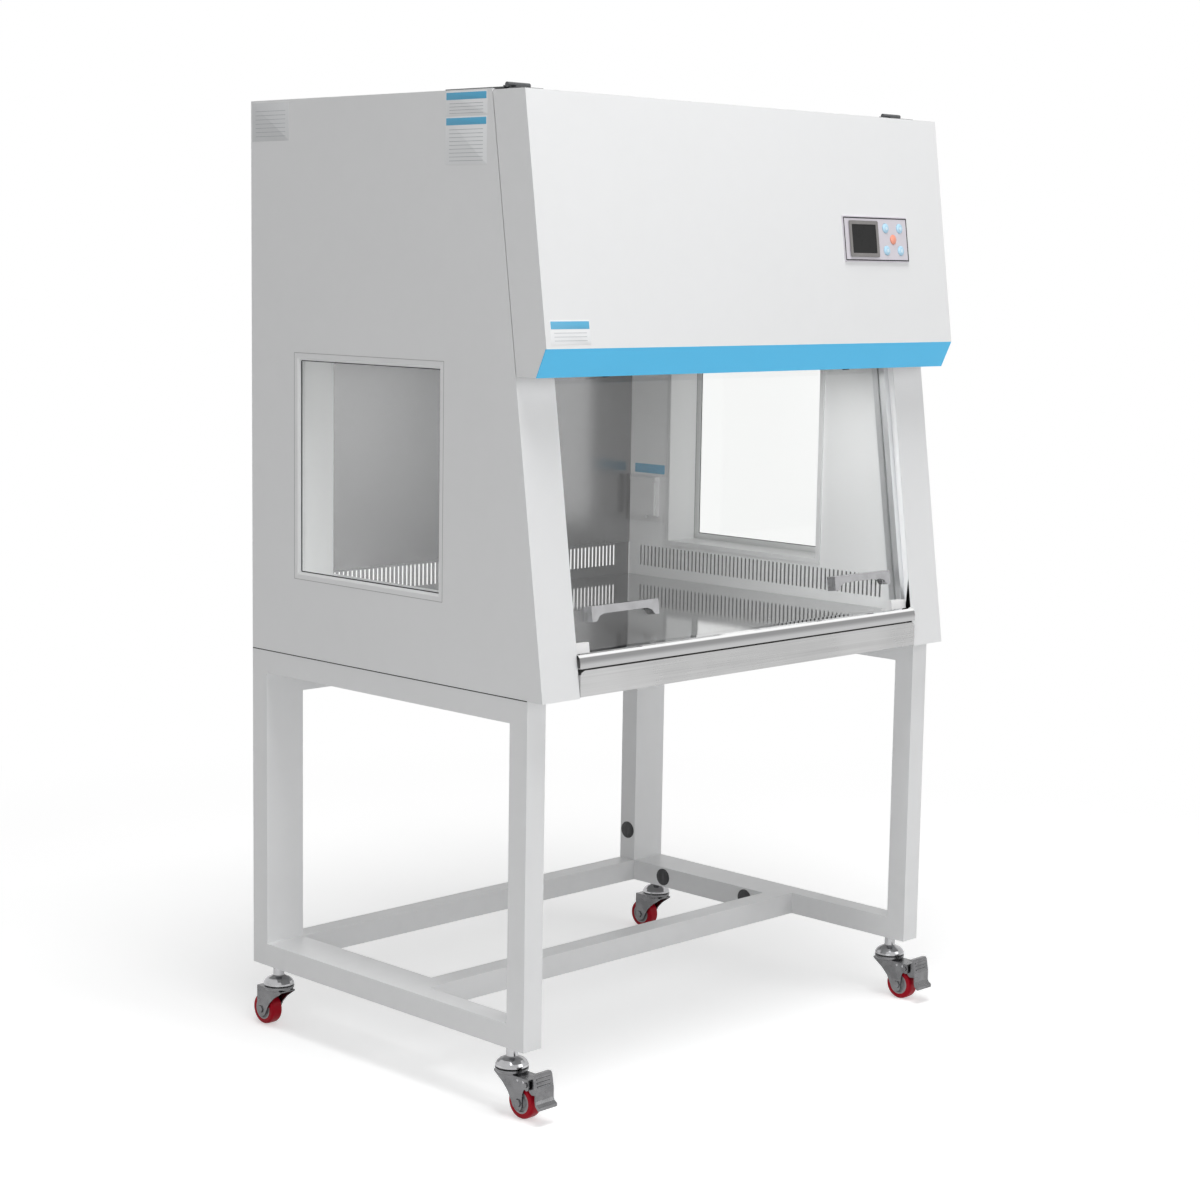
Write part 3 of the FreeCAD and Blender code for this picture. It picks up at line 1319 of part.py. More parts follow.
def control_panel():
    """Plate, screen and buttons."""
    owner = body("control_panel_body")
    drawing = sketch(owner, "xz", "control_panel_outline", "-{}".format(PANEL_FACE))
    rectangle(drawing, "panel_left", "panel_bottom",
              "panel_left + panel_width", "panel_bottom + panel_height")
    pad(owner, drawing, "control_panel_plate_pad", "panel_thickness")
    holes = sketch(owner, "xz", "control_panel_holes", "-{}".format(PANEL_FACE))
    for name, across, along_up in BUTTONS:
        x, z = button_place(across, along_up)
        circle(holes, x, z, "button_radius + button_clearance")
    pocket(owner, holes, "control_panel_holes_cut", "panel_thickness", reverse=True)
    node(owner, "control_panel_plate", tilted=True)
    middle = PANEL_MIDDLE
    screen = box("screen_box",
                 ("panel_left + screen_inset", PANEL_FACE + " - panel_thickness - screen_rise",
                  middle + " - screen_height / 2"),
                 ("panel_left + screen_inset + screen_width", PANEL_FACE + " - panel_thickness",
                  middle + " + screen_height / 2"))
    node(screen, "display_screen", tilted=True)
    for name, across, along_up in BUTTONS:
        x, z = button_place(across, along_up)
        key = body("button_{}_body".format(name))
        profile = sketch(key, "xy", "button_{}_profile".format(name))
        front = "{} - panel_thickness - button_rise".format(PANEL_FACE)
        back = "{} - button_travel - 0.2".format(PANEL_FACE)
        outline(profile, [
            ("0", front),
            ("button_radius * 0.5", front + " + 0.35"),
            ("button_radius * 0.85", front + " + 1.2"),
            ("button_radius", front + " + 2"),
            ("button_radius", back),
            ("0", back),
        ])
        revolve(key, profile, "button_{}_turned".format(name), "Y_Axis")
        node(key, "button_" + name, tilted=True,
             x=x, y="({}) * sin({})".format(z, TILT), z="{} + ({}) * cos({})".format(BASE, z, TILT))


# Air handling: diffuser and filter above the chamber, blower on its deck, pre-filter in the top

PLENUM_FRONT = "({} + sash_room)".format(slant("ceiling_height"))
DECK = "({} + deck_height)".format(BASE)
FILTER_LOW = "({} + skin)".format(CEILING)
FILTER_FRONT = "({} + sash_room + skin + 2)".format(slant("ceiling_height + skin + filter_height"))
FILTER_BACK = "({} - 2)".format(CHAMBER_BACK)


def hepa_filter():
    """Filter frame and pack, recessed above and below, that rests on the ceiling sheet."""
    low = ("-{} + filter_margin".format(INNER), FILTER_FRONT, FILTER_LOW)
    high = ("{} - filter_margin".format(INNER), FILTER_BACK, FILTER_LOW + " + filter_height")
    frame = box("filter_frame", low, high)
    recess = box("filter_recess", (low[0] + " + filter_rim", low[1] + " + filter_rim", low[2] + " - 1"),
                 (high[0] + " - filter_rim", high[1] + " - filter_rim", low[2] + " + 6"))
    upper = box("filter_upper_recess",
                (low[0] + " + filter_rim", low[1] + " + filter_rim", high[2] + " - 6"),
                (high[0] + " - filter_rim", high[1] + " - filter_rim", high[2] + " + 1"))
    node(cut("hepa_filter_cut", frame, [recess, upper]), "hepa_filter")


def blower_deck():
    """Sheet steel box behind the sash: front wall, ceiling frame and the deck that carries the blower."""
    front = PLENUM_FRONT
    back = CHAMBER_BACK
    wall = prism("plenum_front_body", "yz", [
        (front, CEILING),
        (front + " + skin", CEILING),
        ("{} + sash_room + skin".format(slant("cabinet_height - skin")), TOP + " - skin"),
        ("{} + sash_room".format(slant("cabinet_height - skin")), TOP + " - skin"),
    ], "2 * {}".format(INNER))
    deck_front = "{} + sash_room + 1".format(slant("deck_height"))
    deck = box("deck_sheet", ("-" + INNER, deck_front, DECK), (INNER, back, DECK + " + skin"))
    outlet = box("deck_outlet",
                 ("-fan_width / 2", BLOWER_Y + " - fan_radius - fan_clearance", DECK + " - 1"),
                 ("fan_width / 2", BLOWER_Y, DECK + " + skin + 1"))
    shelf_low = CEILING
    shelf = box("ceiling_sheet", ("-" + INNER, front, shelf_low), (INNER, back, shelf_low + " + skin"))
    opening = box("ceiling_opening", ("-{} + filter_margin + filter_rim".format(INNER),
                                      FILTER_FRONT + " + filter_rim", shelf_low + " - 1"),
                  ("{} - filter_margin - filter_rim".format(INNER), FILTER_BACK + " - filter_rim",
                   shelf_low + " + skin + 1"))
    sheets = [wall, cut("deck_cut", deck, [outlet]), cut("ceiling_cut", shelf, [opening])]
    return node(fuse("blower_deck_sheets", sheets), "blower_deck")


BLOWER_Y = "(cabinet_depth - blower_inset)"
FAN_DROP = "(fan_radius + fan_clearance + housing_sheet + fan_throat)"
FAN_UP = "({} + skin + {})".format(DECK, FAN_DROP)


def volute(wall):
    """Outline of the spiral and its outlet: the gap round the impeller widens from tongue to outlet."""
    steps = 18
    points = []
    for step in range(steps + 1):
        angle = math.radians(180 - 270 * step / steps)
        reach = "(fan_radius + {:.4f} * fan_clearance + {})".format(1 + 1.6 * step / steps, wall)
        points.append(("{:.5f} * {}".format(math.cos(angle), reach),
                       "{:.5f} * {}".format(math.sin(angle), reach)))
    foot = "-" + FAN_DROP
    points[-1] = (wall, points[-1][1])
    points.append((wall, foot))
    points.append(("-(fan_radius + fan_clearance + {})".format(wall), foot))
    return points


def blower_housing():
    """Spiral housing with a round inlet in each cheek and its outlet through the deck."""
    owner = body("blower_housing_body")
    half = "(fan_width + 2 * fan_clearance)"
    shell = outline(sketch(owner, "yz", "housing_outside"), volute("housing_sheet"))
    pad(owner, shell, "housing_solid", half + " + 2 * housing_sheet", symmetric=True)
    hollow = outline(sketch(owner, "yz", "housing_inside"), volute("0"))
    pocket(owner, hollow, "housing_hollow", half, symmetric=True)
    inlet = circle(sketch(owner, "yz", "housing_inlet"), "0", "0", "inlet_radius")
    pocket(owner, inlet, "housing_inlets", half + " + 4 * housing_sheet", symmetric=True)
    return node(owner, "blower_housing", y=BLOWER_Y, z=FAN_UP)


def blower_impeller():
    """Double-inlet impeller: forward-curved blades between two end rings, and a middle disc on a hub."""
    owner = body("impeller_body")
    disc = sketch(owner, "yz", "impeller_disc")
    circle(disc, "0", "0", "fan_radius")
    pad(owner, disc, "impeller_plate", "2", symmetric=True)
    blade = sketch(owner, "yz", "impeller_blade")
    outline(blade, [
        ("fan_radius - blade_depth", "0"),
        ("fan_radius - blade_depth * 0.5", "-3"),
        ("fan_radius - 0.6", "-1"),
        ("fan_radius - 0.2", "blade_thickness - 1"),
        ("fan_radius - blade_depth * 0.5", "blade_thickness - 3"),
        ("fan_radius - blade_depth", "blade_thickness"),
    ])
    vane = pad(owner, blade, "impeller_blade_pad", "fan_width - 4", symmetric=True)
    turn_pattern(owner, vane, "impeller_blades", "X_Axis", 30)
    for side, offset in (("left", "-fan_width / 2 + 2"), ("right", "fan_width / 2 - 2")):
        ring_face = sketch(owner, "yz", "impeller_ring_" + side, offset)
        circle(ring_face, "0", "0", "fan_radius")
        circle(ring_face, "0", "0", "fan_radius - blade_depth + 4")
        pad(owner, ring_face, "impeller_{}_ring".format(side), "3", symmetric=True)
    hub = sketch(owner, "yz", "impeller_hub")
    circle(hub, "0", "0", "shaft_radius + 10")
    pad(owner, hub, "impeller_hub_pad", "36", symmetric=True)
    bore = sketch(owner, "yz", "impeller_bore")
    circle(bore, "0", "0", "shaft_radius + running_clearance")
    pocket(owner, bore, "impeller_bore_cut", "60", symmetric=True)
    return node(owner, "blower_impeller", y=BLOWER_Y, z=FAN_UP)


def blower_motor():
    """Motor beside the housing on its bracket, with the shaft that carries the impeller."""
    start = "(fan_width / 2 + fan_clearance + housing_sheet + motor_gap)"
    barrel = cylinder("motor_barrel", "x", (start, BLOWER_Y, FAN_UP), "motor_radius", "motor_length")
    shaft = cylinder("motor_shaft", "x", ("-fan_width / 2 + 20", BLOWER_Y, FAN_UP), "shaft_radius",
                     start + " + fan_width / 2 - 19")
    foot = box("motor_foot_plate", (start + " + motor_foot", BLOWER_Y + " - motor_radius", DECK + " + skin"),
               (start + " + motor_length - motor_foot", BLOWER_Y + " + motor_radius",
                DECK + " + skin + motor_foot / 2"))
    web = box("motor_web",
              (start + " + 2.5 * motor_foot", BLOWER_Y + " - motor_radius * 0.7", DECK + " + skin"),
              (start + " + motor_length - 2.5 * motor_foot", BLOWER_Y + " + motor_radius * 0.7", FAN_UP))
    return node(fuse("blower_motor_fused", [barrel, shaft, foot, web]), "blower_motor")


def prefilter():
    """Framed pre-filter that drops into the intake of the top panel."""
    low = ("-prefilter_width / 2 + 1", PREFILTER_FRONT + " + 1", TOP + " - prefilter_height")
    high = ("prefilter_width / 2 - 1", PREFILTER_FRONT + " + prefilter_depth - 1", TOP + " + 1")
    rim_low = ("-prefilter_width / 2 - 8", PREFILTER_FRONT + " - 8", TOP)
    rim_high = ("prefilter_width / 2 + 8", PREFILTER_FRONT + " + prefilter_depth + 8", TOP + " + 2")
    body_box = box("prefilter_pad", low, high)
    rim = box("prefilter_rim", rim_low, rim_high)
    recess = box("prefilter_recess", (low[0] + " + 14", low[1] + " + 14", TOP + " - 6"),
                 (high[0] + " - 14", high[1] + " - 14", TOP + " + 3"))
    node(cut("prefilter_cut", fuse("prefilter_solid", [body_box, rim]), [recess]), "prefilter")


def lamps():
    """Light strip at the front of the ceiling, and the germicidal tube with its two holders at the back."""
    front = PLENUM_FRONT + " + light_setback"
    channel = box("light_channel", ("-lamp_length / 2", front, CEILING + " - light_height"),
                  ("lamp_length / 2", front + " + light_width", CEILING))
    lens_foot = ("-(lamp_length - lens_radius) / 2", front + " + light_width / 2",
                 CEILING + " - light_height")
    lens = cylinder("light_lens", "x", lens_foot, "lens_radius", "lamp_length - lens_radius")
    node(fuse("led_lamp_fused", [channel, lens]), "led_lamp")
    middle_y = CHAMBER_BACK + " - tube_setback"
    middle_z = CEILING + " - tube_drop"
    tube_length = "lamp_length * 0.7"
    tube_foot = ("-({}) / 2".format(tube_length), middle_y, middle_z)
    tube_piece = cylinder("uv_tube", "x", tube_foot, "lamp_radius * 0.6", tube_length)
    holders = []
    for side, sign in (("left", -1), ("right", 1)):
        start = "-({}) / 2 - 18".format(tube_length) if sign < 0 else "({}) / 2".format(tube_length)
        holders.append(box("uv_holder_" + side,
                           (start, middle_y + " - lamp_radius", middle_z + " - lamp_radius"),
                           (start + " + 18", middle_y + " + lamp_radius", CEILING)))
    node(fuse("uv_lamp_fused", [tube_piece] + holders), "uv_lamp")


def socket():
    """Splash-proof socket on the right liner: plate, raised frame and hinged cover."""
    wall_x = INNER
    low_z = "{} + socket_bottom".format(BASE)
    plate = box("socket_plate", (wall_x + " - socket_depth * 0.35", "socket_front", low_z),
                (wall_x, "socket_front + socket_width", low_z + " + socket_height"))
    frame = box("socket_frame", (wall_x + " - socket_depth", "socket_front + 18", low_z + " + 12"),
                (wall_x, "socket_front + socket_width - 10", low_z + " + socket_height - 10"))
    pin_y = "socket_front + 18"
    pin_z = low_z + " + socket_height - 6"
    pin = cylinder("socket_pin", "y", (wall_x + " - socket_depth - 2", pin_y, pin_z), "1.5",
                   "socket_width - 28")
    ears = [box("socket_ear_{}".format(i),
                (wall_x + " - socket_depth - 5", y, low_z + " + socket_height - 10"),
                (wall_x + " - 2", y + " + 6", low_z + " + socket_height - 2"))
            for i, y in enumerate(("socket_front + 18", "socket_front + socket_width - 16"))]
    node(fuse("socket_box_fused", [plate, frame, pin] + ears), "socket_box")
    lid = box("socket_lid", (wall_x + " - socket_depth - 5", "socket_front + 20", low_z + " + 14"),
              (wall_x + " - socket_depth - 0.3", "socket_front + socket_width - 12",
               low_z + " + socket_height - 12"))
    knuckle = cylinder("socket_knuckle", "y", (wall_x + " - socket_depth - 2", "socket_front + 24.3", pin_z),
                       "3", "socket_width - 40.6")
    neck = box("socket_neck",
               (wall_x + " - socket_depth - 5", "socket_front + 24.3", low_z + " + socket_height - 13"),
               (wall_x + " - socket_depth - 0.3", "socket_front + socket_width - 16.3", pin_z))
    tab = box("socket_tab",
              (wall_x + " - socket_depth - 4", "socket_front + socket_width / 2 - 6", low_z + " + 8"),
              (wall_x + " - socket_depth - 1", "socket_front + socket_width / 2 + 14", low_z + " + 15"))
    bore = cylinder("socket_bore", "y", (wall_x + " - socket_depth - 2", "socket_front", pin_z),
                    "1.5 + running_clearance", "socket_width")
    cover = fuse("socket_cover_fused", [lid, knuckle, neck, tab])
    node(cut("socket_cover_cut", cover, [bore]), "socket_cover")


def cabinet():
    """The cabinet and everything in it."""
    for side, sign in (("left", -1), ("right", 1)):
        side_panel(side, sign)
        liner(side, sign)
    rear_panel()
    top_panel()
    base_pan()
    rear_liner()
    node(group("return_grilles_group", [side_grille("left", -1), side_grille("right", 1), rear_grille()]),
         "return_grilles")
    work_surface()
    front_apron()
    windows()
    hood()
    hood_band()
    hinge_parts()
    sash()
    sash_guides()
    control_panel()
    hepa_filter()
    blower_deck()
    blower_housing()
    blower_impeller()
    blower_motor()
    prefilter()
    lamps()
    socket()


def check():
    """Refuses a document with a failed object or an empty or faulty piece."""
    for piece in doc.Objects:
        if "Invalid" in piece.State or "Error" in piece.State:
            raise RuntimeError("{} failed: {}".format(piece.Label, piece.State))
    labels = [piece.Label for piece in NODES]
    if len(set(labels)) != len(labels):
        raise RuntimeError("two pieces share a name")
    for piece in NODES:
        if piece.Shape.isNull() or not piece.Shape.isValid():
            raise RuntimeError("{} has no valid shape".format(piece.Label))


def write():
    """Writes each piece to its own file."""
    os.makedirs("parts", exist_ok=True)
    for piece in NODES:
        piece.Shape.exportStep("parts/{}.step".format(piece.Label))
    print(len(NODES), "pieces written")


stand()
casters()
cabinet()
doc.recompute()
check()
write()
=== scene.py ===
"""Finishes, small trim, studio and camera for the vertical laminar flow cabinet."""

import json
import logging
import math
from collections.abc import Callable, Iterable, Sequence
from dataclasses import dataclass
from enum import Enum
from typing import ClassVar

import bmesh
import bpy
from mathutils import Matrix, Vector
from mathutils.bvhtree import BVHTree


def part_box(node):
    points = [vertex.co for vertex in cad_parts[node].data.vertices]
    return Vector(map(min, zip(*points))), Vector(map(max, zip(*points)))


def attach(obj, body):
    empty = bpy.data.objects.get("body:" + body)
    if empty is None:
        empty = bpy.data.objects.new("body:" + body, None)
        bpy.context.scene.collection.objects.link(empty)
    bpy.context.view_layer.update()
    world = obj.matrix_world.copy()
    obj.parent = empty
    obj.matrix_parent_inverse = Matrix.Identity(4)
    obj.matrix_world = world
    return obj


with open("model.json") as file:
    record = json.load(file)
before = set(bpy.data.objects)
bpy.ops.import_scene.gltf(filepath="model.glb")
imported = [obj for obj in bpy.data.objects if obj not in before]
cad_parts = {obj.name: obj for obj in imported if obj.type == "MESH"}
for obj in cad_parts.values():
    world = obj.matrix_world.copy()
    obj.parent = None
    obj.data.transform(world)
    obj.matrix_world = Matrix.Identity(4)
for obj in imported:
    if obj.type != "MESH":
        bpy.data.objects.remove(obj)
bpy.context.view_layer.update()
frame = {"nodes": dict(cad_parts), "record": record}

log = logging.getLogger("cabinet")

Color = tuple[float, float, float]
Point = tuple[float, float, float]
MM = 0.001
SLOPE = math.atan2(0.130, 0.944)


# Shader and pattern trees

def operator(operation: str, turned: bool = False) -> Callable[["Wire", "Value"], "Wire"]:
    """An operator method that runs one Math node, with its operands turned round if asked."""
    def run(self: "Wire", other: "Value") -> "Wire":
        """Adds the Math node."""
        return self.tree.math(operation, *((other, self) if turned else (self, other)))
    return run


class Wire:
    """An output socket that carries on through Math nodes when it stands in an expression."""

    def __init__(self, tree: "Tree", socket: bpy.types.NodeSocket) -> None:
        """Keeps the tree and the socket."""
        self.tree = tree
        self.socket = socket

    def also(self, name: str) -> "Wire":
        """Another output of the same node."""
        return Wire(self.tree, self.tree.pick(self.socket.node.outputs, name))

    __add__, __radd__ = operator("ADD"), operator("ADD", True)
    __mul__, __rmul__ = operator("MULTIPLY"), operator("MULTIPLY", True)
    __rsub__, __or__ = operator("SUBTRACT", True), operator("MAXIMUM")

    def ramp(self, start: float, end: float) -> "Wire":
        """Rises smoothly from 0 at start to 1 at end."""
        return self.tree.add("ShaderNodeMapRange", {"interpolation_type": "SMOOTHSTEP"},
                             {"Value": self, "From Min": start, "From Max": end})


Value = Wire | float | int | Sequence[float]


class Tree:
    """A node tree under construction."""

    def __init__(self, data: bpy.types.NodeTree) -> None:
        """Starts with an empty tree."""
        self.data = data
        data.nodes.clear()

    @staticmethod
    def pick(sockets: Iterable[bpy.types.NodeSocket], key: str | int) -> bpy.types.NodeSocket:
        """Finds a socket by its place, or the first one in use that has the name.

        Args:
            sockets: The inputs or outputs of a node.
            key: A number, a name, or "" for the first in use.

        Returns:
            The socket.
        """
        if isinstance(key, int):
            return sockets[key]
        return next(s for s in sockets if s.enabled and key in ("", s.name))

    def add(self, kind: str, settings: dict[str, object] | None = None,
            sockets: dict[str | int, object] | None = None, output: str | int = "") -> Wire:
        """Adds any node: its settings first, then the values or links of its sockets.

        Args:
            kind: Blender's name for the node type.
            settings: Properties of the node.
            sockets: Values or wires, by the input's name or place.
            output: The output that the returned wire holds.

        Returns:
            A wire on the output, or on the node's first input if it has no output.
        """
        node = self.data.nodes.new(kind)
        for name, value in (settings or {}).items():
            setattr(node, name, value)
        for name, value in (sockets or {}).items():
            socket = self.pick(node.inputs, name)
            if isinstance(value, Wire):
                self.data.links.new(value.socket, socket)
            elif socket.type == "RGBA" and len(value) == 3:
                socket.default_value = (*value, 1.0)
            else:
                socket.default_value = value
        return Wire(self, self.pick(node.outputs, output) if len(node.outputs) else node.inputs[0])

    def math(self, operation: str, *values: Value) -> Wire:
        """One Math node on the values, in order."""
        return self.add("ShaderNodeMath", {"operation": operation}, dict(enumerate(values)))

    def vector(self, operation: str, *values: Value) -> Wire:
        """One Vector Math node on the values, in order."""
        return self.add("ShaderNodeVectorMath", {"operation": operation}, dict(enumerate(values)))

    def place(self, stretch: Point = (1.0, 1.0, 1.0)) -> Wire:
        """The object's own coordinates in metres, stretched for a pattern with a direction."""
        own = self.add("ShaderNodeTexCoord", output="Object")
        return self.vector("MULTIPLY", own, stretch)

    def along(self, axis: str) -> Wire:
        """One of the object's own coordinates, by its letter."""
        return self.add("ShaderNodeSeparateXYZ", {}, {"Vector": self.place()}, axis)

    def noise(self, place: Wire, scale: float, detail: float = 2.0, rough: float = 0.5) -> Wire:
        """Even noise from 0 to 1, with this many cells a metre."""
        return self.add("ShaderNodeTexNoise", {}, {"Vector": place, "Scale": scale, "Detail": detail,
                                                   "Roughness": rough}, 0)

    def mix(self, share: Value, first: Value, second: Value) -> Wire:
        """Blends two colours."""
        return self.add("ShaderNodeMix", {"data_type": "RGBA"},
                        {"Factor": share, "A": first, "B": second})

    def tones(self, share: Value, color: Color, low: float, high: float) -> Wire:
        """Blends two brightnesses of one colour."""
        return self.mix(share, shade(color, low), shade(color, high))

    def bump(self, relief: Wire, strength: float, depth: float) -> Wire:
        """Turns a relief into shading, with its depth in metres."""
        return self.add("ShaderNodeBump", {}, {"Height": relief, "Strength": strength, "Distance": depth})

    def blend(self, share: Value, first: Wire, second: Wire) -> Wire:
        """Blends two shaders."""
        return self.add("ShaderNodeMixShader", {}, {0: share, 1: first, 2: second})

    def glow(self, strength: float) -> Wire:
        """White light of this strength."""
        return self.add("ShaderNodeEmission", {}, {"Color": (1.0, 1.0, 1.0), "Strength": strength})

    def principled(self, sockets: dict[str | int, object]) -> Wire:
        """The main shader with these inputs."""
        return self.add("ShaderNodeBsdfPrincipled", {}, sockets)


def shade(color: Color, factor: float) -> Color:
    """A colour made darker or lighter."""
    return tuple(min(1.0, channel * factor) for channel in color)


# Finishes

@dataclass(frozen=True)
class Finish:
    """What every finish has: a name, a colour as a share of light sent back, and its roughness."""

    name: str
    color: Color
    roughness: float

    def material(self) -> bpy.types.Material:
        """Makes the material on first use and returns it."""
        known = bpy.data.materials.get("finish_" + self.name)
        if known:
            return known
        made = bpy.data.materials.new("finish_" + self.name)
        made.use_nodes = True
        tree = Tree(made.node_tree)
        tree.add("ShaderNodeOutputMaterial", {}, {"Surface": self.surface(tree)})
        return made

    def surface(self, tree: Tree) -> Wire:
        """Builds the shader. Every kind of finish has its own."""
        raise NotImplementedError


@dataclass(frozen=True)
class PowderCoat(Finish):
    """Baked powder paint: fine orange peel, a slow change of tone, and dust towards the floor."""

    peel: float = 0.22
    dust: float = 0.0

    def surface(self, tree: Tree) -> Wire:
        """Paint with peel, tone and dust."""
        place = tree.place()
        tone = tree.noise(place, 2.6, 3.0)
        cloud = tree.noise(place, 34.0, 4.0)
        peel = tree.noise(place, 620.0, 2.0)
        dirt = (1 - tree.along("Z").ramp(0.02, 0.42)) * cloud.ramp(0.35, 0.75) * self.dust
        share = (tone * 0.55 + cloud * 0.25 + dirt).ramp(0.2, 1.5)
        color = tree.tones(share, self.color, 1.02, 0.90)
        return tree.principled({
            "Base Color": self.tint(tree, color),
            "Roughness": cloud * 0.10 + tone * 0.06 + (self.roughness - 0.08),
            "Coat Weight": 0.18, "Coat Roughness": 0.22,
            "Normal": tree.bump(peel, self.peel, 0.00012),
        })

    def tint(self, tree: Tree, paint: Wire) -> Wire:
        """The paint's colour as it is. A finish with painted shade on part of it changes it there."""
        return paint


class Grain(Enum):
    """Which way a brushed sheet's lines run, as the stretch of the pattern along X, Y and Z."""

    ACROSS = (2.5, 340.0, 340.0)
    UPRIGHT = (340.0, 340.0, 2.5)


@dataclass(frozen=True)
class Brushed(Finish):
    """Brushed sheet or drawn section: fine lines one way, with soft clouds from the rolling."""

    grain: Grain = Grain.ACROSS
    lines: float = 0.10
    clouds: float = 0.10
    relief: float = 0.10

    def patterns(self, tree: Tree) -> tuple[Wire, Wire]:
        """The fine lines along the grain, and the soft clouds."""
        return tree.noise(tree.place(self.grain.value), 1.0, 4.0, 0.6), tree.noise(tree.place(), 7.0, 4.0, 0.55)

    def surface(self, tree: Tree) -> Wire:
        """Metal with lines and clouds."""
        lines, cloud = self.patterns(tree)
        coarse = tree.noise(tree.place(tuple(value * 0.22 for value in self.grain.value)), 1.0, 2.0)
        share = (lines * 0.5 + coarse * 0.3 + cloud * 0.2).ramp(0.25, 0.75)
        return tree.principled({
            "Base Color": tree.tones(share, self.color, 1 - self.lines, 1 + self.lines),
            "Metallic": 1.0,
            "Roughness": lines * self.lines * 0.8 + cloud.ramp(0.3, 0.75) * self.clouds + (self.roughness - 0.04),
            "Normal": tree.bump(lines, self.relief, 0.00008),
        })


@dataclass(frozen=True)
class Cased(PowderCoat):
    """Powder paint outside, and painted shade, a near-black colour, on the skin behind the slotted strips, where the
    hollow side lies in shadow.
    """

    # painted shade: the colour of the shadow inside the hollow side, seen through the slots
    slot_shade: Color = (0.03, 0.03, 0.032)
    skin: tuple[float, float] = (0.5055, 0.5072)
    deep: tuple[float, float] = (-0.330, 0.360)
    band: tuple[float, float] = (0.690, 0.830)

    def tint(self, tree: Tree, paint: Wire) -> Wire:
        """Paint, or painted shade inside the side at slot height."""
        across = tree.math("ABSOLUTE", tree.along("X"))
        spans = ((across, self.skin), (tree.along("Y"), self.deep), (tree.along("Z"), self.band))
        inside = math.prod(tree.math("GREATER_THAN", wire, low) * tree.math("LESS_THAN", wire, high)
                           for wire, (low, high) in spans)
        # the painted shade colour replaces the paint within the skin, depth and slot band
        return tree.mix(inside, paint, self.slot_shade)


@dataclass(frozen=True)
class Worktop(Brushed):
    """Polished folded sheet whose front roll has a painted highlight on its crest and painted shade below it."""

    crest: float = 747.8 * MM
    front: float = -361.5 * MM
    # painted highlight: a near-white band between these heights about the crest
    shine: tuple[float, float] = (-1.2 * MM, 0.6 * MM)
    # painted shade: the band just under the crest darkens across these heights
    shade_span: tuple[float, float] = (-14 * MM, -5 * MM)

    def surface(self, tree: Tree) -> Wire:
        """Metal with lines, and a painted highlight and painted shade along the roll."""
        lines, cloud = self.patterns(tree)
        roll = tree.math("LESS_THAN", tree.along("Y"), self.front)
        height = tree.along("Z")
        light, painted_shade = (height.ramp(self.crest + low, self.crest + high) for low, high in (self.shine, self.shade_span))
        flat = tree.tones(lines, self.color, 1 - self.lines, 1 + self.lines)
        # nose: painted shade just under the crest, lighter lower down, and a painted highlight on the crest
        nose = tree.mix(light, tree.tones(1 - painted_shade, self.color, 0.62, 1.1), (0.97, 0.97, 0.97))
        return tree.principled({
            "Base Color": tree.mix(roll, flat, nose), "Metallic": 1.0,
            "Roughness": lines * 0.05 + cloud.ramp(0.3, 0.75) * self.clouds + (self.roughness - 0.03),
            "Normal": tree.bump(lines, 0.05, 0.00005),
        })


@dataclass(frozen=True)
class Lining(Finish):
    """Painted sheet at both sides and steel between them, for strips that share one node."""

    steel: Color = (0.5, 0.5, 0.5)
    border: float = 0.424

    def surface(self, tree: Tree) -> Wire:
        """Paint or steel by the distance from the middle."""
        cloud = tree.noise(tree.place(), 30.0, 3.0)
        painted = tree.math("GREATER_THAN", tree.math("ABSOLUTE", tree.along("X")), self.border)
        lines = tree.noise(tree.place(Grain.UPRIGHT.value), 1.0, 3.0)
        bare = tree.tones(lines, self.steel, 0.95, 1.05)
        return tree.principled({
            "Base Color": tree.mix(painted, bare, self.color),
            "Metallic": 1 - painted,
            "Roughness": cloud * 0.08 + self.roughness,
        })


@dataclass(frozen=True)
class Plated(Finish):
    """Electroplated steel: a clear mirror or a cloudy satin, with rubbed patches and hairlines."""

    cloud: float = 0.10
    scratches: float = 0.04

    def surface(self, tree: Tree) -> Wire:
        """Plating with patches and hairlines."""
        patch = tree.noise(tree.place(), 46.0, 4.0)
        hair = tree.noise(tree.place((90.0, 900.0, 1500.0)), 1.0, 2.0).ramp(0.62, 0.74)
        color = tree.tones(patch.ramp(0.3, 0.75), self.color, 1.0, 1 - 1.6 * self.cloud)
        return tree.principled({
            "Base Color": color, "Metallic": 1.0,
            "Roughness": patch * self.cloud + hair * self.scratches + self.roughness,
            "Normal": tree.bump(patch + hair * 0.4, 0.06, 0.0002),
        })


@dataclass(frozen=True)
class Galvanised(Finish):
    """Hot-dip zinc: flat crystals of uneven brightness."""

    def surface(self, tree: Tree) -> Wire:
        """Crystals from a cell pattern."""
        cell = tree.add("ShaderNodeTexVoronoi", {}, {"Vector": tree.place(), "Scale": 60.0}, "Color")
        bright = tree.add("ShaderNodeSeparateColor", {}, {"Color": cell}, 0)
        return tree.principled({
            "Base Color": tree.tones(bright, self.color, 0.82, 1.12),
            "Metallic": 0.9, "Roughness": bright * 0.18 + self.roughness,
            "Normal": tree.bump(bright, 0.12, 0.0003),
        })


